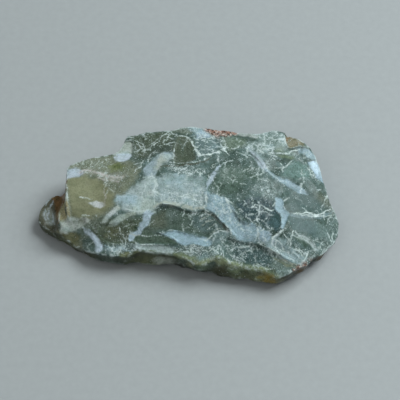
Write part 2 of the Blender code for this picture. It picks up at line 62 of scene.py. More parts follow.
# How the drawing lies in the frame: the plan point over the origin, and the scale of X, Y and Z
CENTRE = (-0.641, 0.2765, 0.0)
SCALE = (0.9994, 0.9713, 1.0058)

# The visible mesh: its longest edges in millimetres, by how far up or down a face looks
TOP_EDGE = 0.32
WALL_EDGE = 0.46
UNDER_EDGE = 0.90
LOOKS_UP = 0.3
LOOKS_DOWN = -0.7
SPLIT_SLACK = 1.4
SPLIT_ROUNDS = 6
MERGE_GAP = 0.002
SMOOTH_ANGLE = math.radians(30)

# How deep the broken surface goes, in millimetres: flakes and chips where dust lies, nicks all
# over the top, chips of the walls, pits of the crust, and the flaked underside, which lies inward
FLAKE_DEPTH = 0.20
CHIP_DEPTH = 0.09
NICK_DEPTH = 0.04
WALL_DEPTH = 0.22
PIT_DEPTH = 0.30
UNDER_INSET = 0.25
UNDER_DEPTH = 0.45
UNDER_CHIP = 0.12
UNDER_LIMIT = 0.9
# How far a vertex may stand off its neighbours before it is calmed, and until it is calmed fully
SPIKE = 0.16
SPIKE_SPREAD = 0.12

# Camera, in metres, with its lens and sensor in millimetres
VIEW_ELEVATION = math.radians(60)
VIEW_DISTANCE = 0.420
VIEW_TARGET = (0.00351, 0.00111, 0.0080)
LENS = 126.0
SENSOR = 36


def srgb(red, green, blue):
    """Linear colour of an 8-bit sRGB triple."""
    parts = np.array((red, green, blue), float) / 255
    return np.where(parts <= 0.04045, parts / 12.92, ((parts + 0.055) / 1.055) ** 2.4)


# --- colours of the stone, and of the light and shade painted on it -------------------------
BODY = srgb(82, 100, 94)
BODY_DEEP = srgb(60, 77, 68)
BODY_MILKY = srgb(106, 127, 125)
DARK_GREEN = srgb(78, 92, 82)
LEAF_GREEN = srgb(84, 102, 91)
TEAL = srgb(68, 92, 93)
DEEP_BLUE = srgb(60, 79, 82)
SEA_GREEN = srgb(92, 114, 108)
MILKY_GREEN = srgb(112, 138, 132)
OLIVE_GRAY = srgb(124, 127, 106)
OLIVE = srgb(128, 129, 100)
SPRING_GREEN = srgb(112, 121, 74)
MOSS = srgb(100, 116, 92)
BROWN_GREEN = srgb(92, 96, 68)
SMOKY_OLIVE = srgb(80, 89, 71)
DARK_OLIVE = srgb(66, 67, 47)
SHADE_BLACK = srgb(24, 25, 16)
BROWN = srgb(114, 86, 50)
LIT_THROUGH_AMBER = srgb(134, 114, 42)
ORANGE_BROWN = srgb(124, 90, 52)
LOBE_BROWN = srgb(128, 122, 100)
MILK = srgb(165, 178, 176)
PALE = srgb(149, 164, 164)
PALE_GREEN = srgb(172, 180, 171)
PALE_BLUE = srgb(146, 168, 176)
# The next two pale blues stand for painted sky reflection on the pale facets
SKY_REFLECTION = srgb(156, 180, 190)
BRIGHT_SKY_REFLECTION = srgb(150, 169, 180)
LILAC = srgb(172, 182, 191)
PEARL = srgb(182, 193, 200)
HAZE = srgb(130, 148, 146)
CHALK = srgb(210, 221, 217)
ASH_AND_SHEEN = srgb(172, 177, 167)
PINK_WHITE = srgb(178, 172, 166)
VEIN = srgb(178, 184, 172)
WHITE_DUST = srgb(200, 212, 209)
RUST = srgb(142, 108, 92)
RUST_GRAIN = srgb(206, 194, 184)
RUST_PIT = srgb(44, 26, 18)
# Tints that darken the stone in its mottles and its pits
MOTTLE_TINT = (0.64, 0.70, 0.64, 1)
PIT_TINT = (0.50, 0.53, 0.49, 1)
# Colours of the floor and of the light
FLOOR_DARK = srgb(150, 153, 152)
FLOOR_PALE = srgb(160, 163, 162)
SKYLIGHT = (0.80, 0.90, 0.95, 1)
COOL_LIGHT = (0.88, 0.96, 1.0)
WARM_LIGHT = (1.0, 0.97, 0.92)

# A patch of one colour, of the stone or of painted sky reflection: outline in plan, colour, how much it
# covers, how frosted it is (0 is glossy, 1 is dull), how much crackle and dust lies on it, and how soft its
# border is
Patch = namedtuple("Patch", "outline colour cover frost dust soft")
# A region of crackle and dust alone
Veil = namedtuple("Veil", "outline dust soft")
# A drawn line: path, width at its middle, colour, cover
Stroke = namedtuple("Stroke", "path width colour cover")
# A soft ball of colour inside the stone: middle (x, y, z), reach, colour, cover
Glow = namedtuple("Glow", "middle reach colour cover")

# Patches whose border is this soft or less, in millimetres, stray by only this share
CRISP = 0.4
CRISP_STRAY = 0.35
# A drawn line: the share of its width that its tips keep, the share of its length that each tip
# takes, and how bluntly it thins towards them
THIN_SHARE = 0.25
TIP = 0.04
THINNING = 0.6
# The noise that bends and frays outlines starts from the clock unless it gets a seed
WANDER_SEED = 9
# How far apart in the noise the clouds of two neighbouring seeds lie
CLOUD_STEPS = (7.13, 3.71, 1.97)
CLOUD_GAIN = 1.6
# Cracks: the plan rectangle they start in, how far they kink and sway in radians, and for how
# many points they hold to one kink or sway
CRACK_FIELD = ((-46, -26), (46, 26))
KINK = 0.62
KINK_POINTS = 4
SWAY = 0.30
SWAY_POINTS = 20
# The longest crack has at most this many times the points of the shortest
SHORTEST = 6

VEILS = (
    Veil(((-19, 23), (-5, 24), (-5, 15), (-9, 15), (-13, 11), (-15, 6), (-20, 5), (-20, 12), (-17, 14)),
        0.38, 1.5),
    Veil(((-37, 12), (-30, 14.5), (-24, 15), (-19, 12), (-18, 5), (-22, 1), (-25.6, 3), (-26, 6.4),
        (-33, 9)), 0.46, 1.2),
    Veil(((2, 22), (9, 22), (13, 16), (9, 12), (2, 13)), 0.54, 1.2),
    Veil(((12, 8), (16, 11), (19, 8), (23, 7), (27, 3), (28, 0), (23, -1), (19, -1), (15, 1), (12, 3)),
        0.55, 1.5),
    Veil(((9, 13), (15, 17), (17, 12), (22, 5), (18, 0), (12, 2), (6, 3), (7, 8)), 0.42, 2),
    Veil(((7, -1), (13, 2), (20, 0), (24, -4), (23, -8), (21, -13), (18, -10), (14, -8), (11, -2)), 0.47,
        1.5),
    Veil(((22, 8), (26, 14), (29, 12), (27, 6), (31, 2), (36, 4), (36, -3), (29, -4), (25, 0)), 0.44,
        1.5),
    Veil(((20, -9), (25, -12), (28, -12), (31, -14), (36, -17), (33, -20), (26, -16), (21, -14)), 0.5,
        1.5),
    Veil(((-7, -16), (0, -15), (6, -16), (10, -14), (11, -18), (6, -19), (0, -19), (-7, -17)), 0.7, 1),
    Veil(((12, -14), (20, -16), (24, -18), (25, -22), (18, -21), (12, -19)), 0.62, 1.2),
    Veil(((-28, -4), (-22, -6), (-16, -7), (-18, -11), (-21, -14), (-28, -14), (-33, -10)), 0.34, 1.5),
    Veil(((-24, -13.6), (-18, -13.8), (-9, -15), (-9, -17), (-18, -17), (-25, -16)), 0.75, 0.8),
    Veil(((38, 4), (41, 3), (45, -5), (44, -11), (39, -17), (36, -17), (41, -8), (40, 0)), 0.55, 1.2),
    Veil(((3.4, -6.4), (6, -6), (10, -10), (9, -12.4), (3.4, -12), (4, -9.5)), 0.34, 0.8),
    Veil(((-13, -5.5), (-6, -5), (0, -8), (0, -12), (-13, -11)), 0.22, 0.8),
    Veil(((-7, -4.5), (-2, -5), (0, -6), (-1, -7), (-4, -6.5)), 0.45, 0.8),
)

LACE = (
    Veil(((-9.5, -2.6), (-4, -3.2), (1, -4.6), (5, -4.4), (5, 1.5), (2, 2), (-3, 0.8), (-8, 1.5)), 0.56,
        1.2),
    Veil(((6, -2), (10, -2.2), (12.5, -6), (16, -10), (19.6, -11), (19.6, -14.6), (15, -13), (10, -8),
        (6, -4.5)), 0.5, 1),
    Veil(((24, 1), (30, -3), (38, -3), (42, 0), (39, 5), (35.6, 8), (34, 4), (29, 1)), 0.36, 1.2),
)

STAINS = (
    Patch(((-39, 12), (-30, 15), (-22, 15), (-17, 11.6), (-15.2, 8), (-16.2, 3.8), (-18.6, 0.8),
        (-21.6, -1.8), (-22.6, -4.2), (-25.2, -6.6), (-29, -7.8), (-38, -7)), OLIVE_GRAY, 0.8, 0.5, None,
        1.2),
    Patch(((-37, 6.4), (-32, 7), (-27, 5.6), (-24.4, 2.4), (-23, -0.6), (-23.4, -3.6), (-26.6, -5.6),
        (-30, -6.2), (-35.2, -6.2)), OLIVE, 0.95, 0.75, 0, 0.9),
    Patch(((-24.4, 11.4), (-21.5, 11.6), (-19.8, 10.4), (-20.2, 8.6), (-23.4, 8.6)), SPRING_GREEN, 0.8,
        0.3, 0.05, 1.1),
    Patch(((-48, 8), (-37.2, 8), (-37.2, 3), (-39.2, -3), (-39.2, -8), (-36, -14), (-48, -14)),
        srgb(86, 84, 68), 0.95, 0.45, 0.2, 0.6),
    Patch(((-42.4, 5.2), (-40.4, 6.2), (-37, 5.6), (-36.9, 2), (-37.6, -0.6), (-38.9, -2.6), (-40, -4.6),
        (-40.6, -4.2), (-40.7, -0.5), (-41.2, 2.5), (-42.2, 4)), BROWN, 0.97, 0.3, 0, 0.35),
    Patch(((-37.4, 0), (-36.6, -0.6), (-35.4, -6.4), (-38.6, -6.6), (-39.4, -5.2), (-39.6, -3.4),
        (-38.4, -1.4)), srgb(172, 164, 128), 0.9, 0.35, 0.1, 0.35),
    Patch(((-41, -8.6), (-36, -8.8), (-33, -10), (-32, -14), (-38, -12), (-42, -9)), srgb(110, 107, 76),
        0.8, 0.4, 0.2, 0.9),
    Patch(((-4.8, -17), (-1.2, -18), (2.9, -19.3), (6.5, -18.7), (8.7, -19), (14.6, -20.2), (20.5, -21.6),
        (24.9, -23.2), (27.5, -23.8), (27.4, -25.8), (20.5, -24.4), (14.6, -23), (8.7, -21.6), (4, -22.2),
        (-1.2, -20.8), (-5, -19.2)), srgb(146, 156, 118), 0.8, 0.35, 0.35, 1),
    Patch(((-21, -17), (-16.3, -16), (-9.6, -16.7), (-5.6, -17.1), (-5, -19.4), (-12, -19), (-21, -18.6)),
        srgb(118, 122, 90), 0.85, 0.35, 0.25, 0.6),
    Patch(((-30, -7.6), (-24, -7), (-13.4, -7.4), (-13.8, -13.6), (-22, -13.8), (-28.4, -12.8)),
        srgb(80, 89, 69), 0.85, 0.3, 0.42, 1.4),
    Patch(((-33, -9), (-30, -7.4), (-26, -7.2), (-24.6, -8.8), (-26.4, -10.4), (-29.6, -11.4),
        (-32.5, -11.6)), srgb(108, 117, 102), 0.6, 0.4, 0.4, 0.9),
    Patch(((-21, -10), (-17.5, -10), (-17, -13), (-20.5, -13.4)), srgb(80, 90, 72), 0.6, 0.3, 0.25, 0.9),
    Patch(((-17, 13), (-14.6, 12.6), (-13.8, 9.6), (-15.4, 7.6), (-17.6, 9.4)), srgb(92, 101, 90), 0.6,
        0.35, 0.35, 1),
    Patch(((-24.5, -9.6), (-21.5, -9.4), (-20, -10.8), (-22, -12.2), (-25, -11.8)), BROWN_GREEN, 0.8, 0.3,
        0.45, 0.9),
    Patch(((28.8, 26), (29, 19.6), (30, 17.6), (33.6, 18.6), (35, 19.4), (34.6, 21.4), (31.6, 26)),
        LOBE_BROWN, 0.95, 0.4, 0.35, 0.5),
    Patch(((-15, 21.5), (-11, 22.6), (-6.5, 22), (-4.5, 20), (-4.2, 13.6), (-7, 14.8), (-10.4, 14),
        (-12.6, 11.8), (-16, 13), (-17, 18)), srgb(70, 78, 68), 0.8, 0.35, 0.42, 1),
    Patch(((-12, 24), (-6.4, 23.2), (-5, 21.6), (-8, 17.2), (-11.5, 17.4), (-14, 12), (-18, 14),
        (-19, 22)), SMOKY_OLIVE, 0.75, 0.4, 0.48, 1.6),
    Patch(((36, 1.5), (39, 3), (41.4, 2.6), (43.8, -1.6), (42, -4), (38.4, -2.6)), srgb(116, 118, 104),
        0.55, 0.4, 0.5, 1.4),
    Patch(((-8, 25.8), (-5.6, 23.2), (-3, 22.4), (0, 21.6), (1.5, 22.6), (4.5, 26)), srgb(116, 124, 110),
        0.7, 0.4, 0.5, 0.6),
)

WINDOWS = (
    Patch(((-3.8, 21.4), (-2.2, 21.6), (-0.6, 20.6), (0.6, 18.6), (1.3, 16.3), (1.7, 13.4), (1.5, 11.4),
        (0.2, 10.2), (-2.4, 9.8), (-4.8, 10.4), (-5.8, 12.6), (-5, 14.6), (-5.4, 17), (-4.8, 19.6)),
        srgb(85, 93, 78), 0.93, 0.3, 0.24, 0.8),
    Patch(((-10.6, -5.2), (-8.5, -4.2), (-5.5, -4.2), (-4, -4.7), (-2.5, -5.4), (1, -6.3), (4, -5.8),
        (5.8, -5.9), (8.2, -8.4), (10, -10.6), (9, -12.4), (2, -12.2), (-2.5, -11), (-6, -10.6),
        (-9, -11.2), (-13.8, -10.8)), DARK_GREEN, 0.92, 0.3, None, 0.6),
    Patch(((-12.4, -9.8), (-10.4, -5.6), (-7.6, -4.8), (-6.4, -7.4), (-8.2, -10.6)), srgb(92, 95, 80),
        0.6, 0.3, None, 1.4),
    Patch(((-7, -5.6), (-4.2, -5.4), (-3.2, -7.2), (-5.4, -8), (-7.2, -7.2)), srgb(112, 126, 121), 0.5,
        None, None, 0.9),
    Patch(((1, -6.4), (5.8, -6), (8.2, -8.5), (9.6, -10.6), (8.6, -12.2), (3, -11.8), (0, -9)),
        srgb(82, 99, 98), 0.75, 0.3, 0.24, 0.9),
    Patch(((13.9, -3.6), (16, -2.4), (19.1, -1.8), (24.7, -2.1), (25.8, -4.6), (26.6, -7.2),
        (26.6, -11.6), (25.2, -12.6), (22.6, -11.3), (20.1, -9.6), (17, -9.4), (15, -7.6)), DEEP_BLUE,
        0.9, 0.3, 0.42, 0.9),
    Patch(((24.9, -6.6), (26.3, -7.4), (26.8, -9.4), (26.5, -11.4), (25.2, -12.2), (23.8, -11.4),
        (23, -9.8), (23.6, -8)), srgb(64, 86, 87), 0.95, 0.2, 0.15, 0.7),
    Patch(((6.2, 1.4), (7.6, 4.6), (9.8, 7.6), (13, 8.2), (15.4, 6.8), (15.8, 3.6), (14.6, 0.6),
        (12.2, -1.2), (9, -0.6)), LEAF_GREEN, 0.85, 0.25, 0.25, 1.4),
    Patch(((-16.4, -9.8), (-13.8, -9.6), (-9, -12.2), (-5.6, -13), (-3.6, -14.2), (-6.8, -14.6),
        (-10, -14.4), (-15, -14.2), (-17, -13.4)), srgb(76, 93, 79), 0.9, 0.15, 0.15, 0.5),
    Patch(((28.9, -7.4), (33.2, -7.2), (37, -7.4), (38, -8.8), (38, -12.8), (36, -12.2), (31.2, -11.8),
        (29.4, -10.6)), srgb(76, 98, 96), 0.85, 0.75, 0.15, 0.9),
    Patch(((36.8, -7.6), (41, -7.6), (41.4, -12.4), (37, -12.8)), srgb(104, 122, 118), 0.7, 0.5, 0.3,
        1.2),
    Patch(((29, 0), (36, 2), (41, -1), (42, -4.4), (36, -5.2), (29, -5.2)), srgb(68, 89, 85), 0.8, 0.75,
        0.34, 1.5),
    Patch(((27.4, 7), (29.4, 11.4), (32, 13.2), (35.4, 12.4), (36, 9.8), (35.6, 6.6), (31.4, 5.6)),
        MILKY_GREEN, 0.7, 0.3, 0.22, 1.2),
    Patch(((13.4, -15), (17, -15.6), (20.6, -16.6), (23.4, -18), (23, -21.2), (17, -21), (13, -19.6)),
        TEAL, 0.65, 0.3, 0.44, 1),
    Patch(((24.6, -18.2), (27.6, -20), (28.4, -22.4), (26, -23.6), (23.8, -21.4)), srgb(120, 136, 129),
        0.85, 0.3, 0.28, 0.6),
    Patch(((9.5, 21), (16, 20.6), (17, 17.6), (12, 15.6), (9.6, 17.4)), srgb(114, 128, 110), 0.7, 0.35,
        0.4, 1.2),
    Patch(((8, 8), (16, 9.6), (21, 8.2), (20, 4), (9, 4.6)), LEAF_GREEN, 0.7, 0.35, None, 1.8),
    Patch(((25, 15.7), (28.2, 15.9), (28.2, 17.4), (26.2, 17.6)), MOSS, 0.9, 0.3, 0.1, 0.5),
    Patch(((25.6, 14.6), (28, 14.9), (31.4, 14.4), (31.6, 13.4), (28, 13.2)), MOSS, 0.85, 0.3, 0.15, 0.5),
    Patch(((30.2, -13.9), (32.6, -13.6), (35, -14.8), (34.2, -15.6), (31.4, -15)), LEAF_GREEN, 0.8, 0.3,
        0.2, 0.4),
)

# Pale facets: partly frosted stone, partly painted sky reflection and painted highlights where a facet
# faces the light
FACETS = (
    Patch(((-10.4, 4.6), (-8.6, 5.5), (-4, 5.8), (1, 5.6), (4.4, 5.2), (6, 3.6), (5.6, -1), (-6, 0)),
        MILKY_GREEN, 0.6, 0.5, 0.55, 1.4),
    Patch(((-37.7, 9.6), (-36.2, 10.2), (-34.4, 10), (-32.6, 9.3), (-32.2, 8.2), (-33.2, 7), (-35, 6.3),
        (-37.7, 6.3)), LILAC, 0.92, 0.75, 0.15, 0.5),
    Patch(((-34, 8.8), (-31, 9.6), (-28, 9), (-25, 8), (-21.5, 7.2), (-19.4, 6.4), (-19.8, 5.2),
        (-22.5, 4.6), (-25.5, 5.6), (-28, 7), (-31, 7.8), (-33.6, 8)), PINK_WHITE, 0.34, 0.6, 0.56, 0.8),
    Patch(((-23.4, 15.6), (-21.5, 17.2), (-20.6, 20.4), (-18.5, 20.4), (-17.5, 19.4), (-17.8, 15),
        (-22.8, 14.6)), PALE_GREEN, 0.92, 0.6, 0.12, 0.35),
    Patch(((-23.4, 14.3), (-22.4, 15.7), (-20, 15.6), (-18, 15), (-17.7, 14), (-18.4, 12.8),
        (-19.5, 12.1), (-21.5, 12.1), (-22.8, 13)), PEARL, 0.97, 0.8, 0.02, 0.3),
    Patch(((-13.5, 5), (-14, 8.4), (-12.4, 10.6), (-9.9, 13.6), (-7.9, 14.8), (-5.2, 14.2), (-5.2, 12.9),
        (-6.9, 11.1), (-9.8, 7.9), (-10.9, 4.8)), srgb(146, 161, 166), 0.92, 0.6, 0.1, 0.35),
    Patch(((-9.9, 12.4), (-8.2, 14.4), (-5.6, 14), (-5.4, 12.8), (-7.2, 10.8), (-9, 8.6), (-10.4, 7.6),
        (-10.9, 9.2)), srgb(164, 170, 158), 0.85, 0.6, 0.1, 1),
    Patch(((-22, -1.5), (-21.5, -3.5), (-20, -4.8), (-18, -5.5), (-16, -6.2), (-13, -6.4), (-10.6, -5.4),
        (-10.2, 2), (-10.8, 4.9), (-13.5, 5), (-15, 3.5), (-17, 2), (-19, 0.5), (-21, -0.3)), MILK, 0.9,
        0.6, 0.26, 0.8),
    Patch(((-10.5, 5), (-8, 6), (-5, 6), (-2, 5.6), (1, 5.2), (3.5, 5.2), (4.6, 2), (5.2, -0.4),
        (5.6, -4.8), (4, -5), (1, -5.4), (-1, -5), (-4, -3.8), (-8.5, -3.3), (-10.4, -4.2), (-11.8, -5.3),
        (-12, 2), (-11.8, 4.6)), PALE, 0.9, 0.6, 0.22, 0.7),
    Patch(((4.2, 0.6), (8, -1), (10.5, -1.6), (11.5, -3), (12.5, -5), (13.5, -7), (15, -9), (17, -10),
        (19.5, -10.3), (20.3, -12), (20.5, -15.6), (18.5, -15), (14, -14.2), (12.3, -12), (9.2, -8.8),
        (6.5, -5.8), (4.6, -4.8)), PALE_BLUE, 0.9, 0.6, 0.3, 0.5),
    Patch(((20.4, -11.8), (22.6, -12.8), (23.7, -14.7), (26.2, -14.4), (28.4, -16.1), (31.4, -17.8),
        (33.6, -19.1), (35.3, -18.4), (33.6, -20.5), (31.4, -21.4), (28.8, -21), (27, -19.7),
        (25.5, -18.2), (22.6, -16.4), (20.4, -15.4)), srgb(142, 160, 161), 0.85, 0.6, 0.42, 0.6),
    Patch(((19.7, -12), (20.4, -10.9), (21.5, -11.8), (22.6, -12.6), (23.7, -13.2), (23.3, -14.5),
        (22.2, -15.1), (20.8, -14.8), (20, -13.9)), srgb(152, 173, 186), 0.85, 0.6, 0.45, 0.5),
    Patch(((26.2, -13.2), (24.8, -13.5), (23.9, -14.5), (23.4, -15.9), (24.2, -16.3), (24.7, -15.2),
        (25.6, -14.1)), srgb(170, 184, 188), 0.85, 0.6, 0.2, 0.3),
    Patch(((25.5, -22.4), (27, -21.7), (29.9, -21.5), (31.4, -21.9), (30, -23.2), (28.2, -24.4),
        (26.3, -24.4)), srgb(114, 132, 126), 0.8, 0.5, 0.5, 0.4),
    Patch(((-13.1, 5.4), (-11.8, 6.6), (-10.3, 6.1), (-9.8, 4.1), (-10.8, 2), (-12, 2.1), (-12.8, 3.5)),
        srgb(170, 183, 180), 0.7, 0.6, 0.3, 0.6),
    Patch(((-13, 0.2), (-12.1, 0.8), (-11, 0.5), (-10.9, -0.7), (-12.1, -1.1), (-12.8, -0.8)),
        srgb(184, 194, 190), 0.85, 0.6, 0.1, 0.3),
    Patch(((-17.8, -5), (-15.9, -3.2), (-14.1, -1.8), (-12.6, -1.3), (-10.4, -2.2), (-8.9, -3.1),
        (-10, -4.5), (-11.3, -5.5), (-13.3, -6.1), (-15.9, -5.9)), srgb(164, 176, 166), 0.65, 0.6, 0.3,
        0.6),
    Patch(((-12.6, -5), (-13.9, -6.3), (-14, -8), (-15.2, -9), (-15.6, -10.4), (-17.2, -11.2),
        (-18.2, -12), (-18.1, -13.4), (-17, -13.3), (-16.2, -12), (-14.6, -11.9), (-13.9, -10.2),
        (-12.4, -9.1), (-11.7, -7.4), (-11, -5.6)), srgb(168, 184, 194), 0.92, 0.7, 0.1, 0.3),
    Patch(((-8.5, -12), (-6, -13), (-4.5, -13.8), (-3, -14.8), (-1.5, -15.2), (1, -15), (3, -15.5),
        (5.5, -16), (6.5, -15.2), (6, -14), (4.5, -13.3), (2, -13), (-0.5, -12.5), (-2.5, -11.7),
        (-4.3, -11.2), (-5.8, -11.2), (-7, -11.9)), SKY_REFLECTION, 0.94, 0.7, 0.12, 0.35),
    Patch(((-17.5, -14.3), (-16.5, -15.3), (-14, -16), (-11, -16.4), (-9, -17), (-7, -17.3), (-4.5, -17),
        (-4.5, -16), (-7, -15.3), (-10, -15), (-15, -14.8)), MILK, 0.88, 0.6, 0.3, 0.45),
    Patch(((-31.6, -8.6), (-29.7, -9.3), (-27.8, -11.1), (-26.7, -12.4), (-25.8, -14.1), (-25.9, -15.6),
        (-27.4, -16), (-28.3, -15.1), (-27.9, -13.7), (-28.8, -12.2), (-30.2, -10.8), (-31.4, -9.9)),
        srgb(176, 189, 199), 0.94, 0.7, 0.1, 0.3),
    Patch(((-38.8, -6.4), (-36.4, -6.2), (-33.4, -6.6), (-30.8, -6.2), (-29.7, -7), (-31.2, -8.6),
        (-34.6, -8.9), (-36.9, -9.2), (-38.6, -9.6)), srgb(180, 186, 178), 0.92, 0.6, 0.05, 0.6),
    Patch(((-44.2, 0.6), (-42.8, 0.8), (-41.4, -1), (-40.6, -3.4), (-40.6, -6), (-42, -5.6),
        (-43.6, -4.4), (-44.5, -2)), srgb(142, 147, 138), 0.85, 0.6, 0.2, 0.5),
    Patch(((-30.2, -2.5), (-27.8, -1.8), (-26, -2.1), (-24.9, -3.2), (-26.3, -3.9), (-28.6, -3.7)),
        srgb(188, 192, 190), 0.94, 0.7, 0.1, 0.25),
    Patch(((16.8, 17.4), (17.9, 15), (18.9, 13.4), (19.9, 11.2), (20.9, 9.2), (22.1, 7.9), (23.3, 8),
        (23.1, 9.4), (21.7, 11.8), (20.3, 14), (18.9, 15.9), (17.6, 17.4)), srgb(172, 183, 190), 0.9,
        0.65, 0.25, 0.35),
    Patch(((27, 5), (28.4, 3.4), (30.2, 1.9), (32.6, 1), (35.2, 1.2), (34.4, 2.4), (32.7, 3.6),
        (30.4, 4.8), (28.6, 5.6)), srgb(137, 157, 165), 0.92, 0.6, 0.15, 0.35),
    Patch(((25.2, -1), (25.2, -3), (24.9, -5), (25.5, -5.7), (26.5, -6.8), (27, -8), (26.6, -9.5),
        (26.6, -11.5), (27.2, -11.8), (28, -10), (28.7, -8), (28.9, -6.5), (27.8, -5.3), (27.4, -4),
        (27.5, -2.5), (27, -1.3)), srgb(139, 160, 168), 0.95, 0.7, 0.08, 0.3),
    Patch(((28.9, -6.3), (32, -6.4), (35, -5.8), (38.5, -5.2), (41, -2.8), (43, -1.3), (42, -3),
        (38.6, -5.9), (37, -6.5), (32, -7.1), (29.2, -7)), srgb(130, 150, 156), 0.4, 0.6, 0.3, 0.4),
    Patch(((31.2, -13.3), (33.3, -12.8), (35.2, -13.4), (36.7, -14.6), (37.8, -16), (37, -16.3),
        (35.2, -15.3), (33.3, -14.2), (31.5, -14.3)), srgb(161, 172, 169), 0.92, 0.6, 0.15, 0.35),
    Patch(((35.8, 12.8), (36, 11.2), (36.8, 9.8), (38, 8), (39.5, 7), (41.6, 7), (40.6, 13.4),
        (37.8, 13.4)), BRIGHT_SKY_REFLECTION, 0.95, 0.7, 0.02, 0.45),
    Patch(((33, 17.4), (34.6, 17.9), (36.6, 16.8), (38.6, 14.4), (38.6, 13.9), (35.8, 14.2),
        (33.4, 15.6)), PALE_BLUE, 0.8, 0.6, 0.25, 0.5),
    Patch(((1.2, 21.6), (0.8, 19.4), (1.8, 16.6), (2.6, 14), (5, 13), (8.2, 13.6), (9.4, 17), (8.8, 21.4),
        (5.6, 21.6)), srgb(100, 117, 117), 0.6, 0.7, 0.42, 0.9),
    Patch(((1.2, 22.6), (3, 23.4), (5.4, 23), (6, 21.2), (3.8, 20.4), (1.6, 20.6)), srgb(156, 174, 186),
        0.75, 0.7, 0.45, 0.6),
    Patch(((20, 23.8), (20.6, 20), (17, 18.8), (17.4, 15.6), (22, 14.6), (25, 16), (29, 17.8), (28.8, 22),
        (27, 24.2)), srgb(124, 141, 135), 0.7, 0.7, 0.62, 0.9),
    Patch(((13, 24.2), (13, 22), (15.4, 21.6), (20.5, 20.6), (20.6, 22.4)), srgb(158, 165, 160), 0.9, 0.6,
        0.15, 0.4),
    Patch(((-1.8, 25.4), (0, 25.6), (2.9, 25.8), (5, 25), (4.9, 22.6), (2.9, 22.2), (0.8, 22),
        (-0.2, 23.4)), PALE_BLUE, 0.6, 0.6, 0.7, 1.3),
    # A painted highlight in the middle of the bright sky patch at the right rim
    Patch(((36.2, 13), (38, 13.2), (39.2, 11), (38.4, 9.4), (36.8, 10.6)), srgb(196, 216, 226), 0.8, 0.7,
        0, 0.7),
    Patch(((-22.6, -2), (-21.2, -0.5), (-17.8, -0.2), (-15.6, -1.2), (-16.3, -3), (-19.3, -3.8),
        (-21.9, -2.8)), srgb(150, 172, 180), 0.75, 0.7, 0.15, 0.8),
    Patch(((-20.6, -3.6), (-22.6, -4.6), (-24.2, -5.7), (-25.8, -7.2), (-26.3, -8.3), (-25, -8.2),
        (-23.7, -6.8), (-22.4, -6), (-20.8, -5)), srgb(168, 178, 170), 0.85, 0.6, 0.2, 0.35),
    Patch(((-16, -5.6), (-18.5, -5.8), (-21.3, -6.6), (-23.5, -8), (-24.4, -9.3), (-22.6, -9.1),
        (-20.3, -8.2), (-18.1, -7.1), (-16.2, -6.6)), srgb(160, 170, 158), 0.8, 0.6, 0.3, 0.35),
    Patch(((-22, -14), (-18.5, -14.4), (-19, -16), (-24.5, -15.9), (-26, -14.6)), PALE_BLUE, 0.35, 0.6,
        0.6, 0.6),
    Patch(((-24.8, -6.3), (-23.2, -4.8), (-21.4, -3.5), (-20.9, -4.4), (-23, -6.4)), srgb(188, 192, 187),
        0.92, 0.6, 0.2, 0.35),
    Patch(((1.6, 22), (3.2, 23.4), (5.6, 23.2), (6.2, 21.6), (3.8, 21)), srgb(160, 178, 188), 0.5, None,
        None, 0.6),
    Patch(((19.2, 14.6), (21, 14.6), (22.4, 12.6), (21.6, 11.6), (20.2, 12.6)), srgb(150, 168, 168), 0.5,
        None, None, 0.8),
    Patch(((27.4, 19.6), (29, 19.4), (29.4, 17.2), (32, 15.4), (31.6, 14), (29, 14.8), (27.2, 16.6)),
        srgb(140, 156, 148), 0.5, 0.6, 0.5, 0.8),
    Patch(((6, -13.8), (8, -12.4), (10.4, -11.2), (12, -11.6), (11, -13.4), (9, -14.8), (6.6, -15.2)),
        srgb(134, 153, 154), 0.45, 0.6, 0.62, 0.7),
    Patch(((-13.5, -16.8), (-9, -16.8), (-5.5, -17.2), (-5.5, -18.4), (-9.5, -18.4), (-13.5, -17.8)),
        srgb(140, 152, 148), 0.6, 0.6, 0.3, 0.5),
    Patch(((5.2, -16.4), (10.5, -14.2), (13.2, -15.2), (12.6, -19.6), (8, -18.8), (4, -19.8),
        (1.4, -19.4)), SEA_GREEN, 0.8, 0.6, 0.58, 0.9),
)

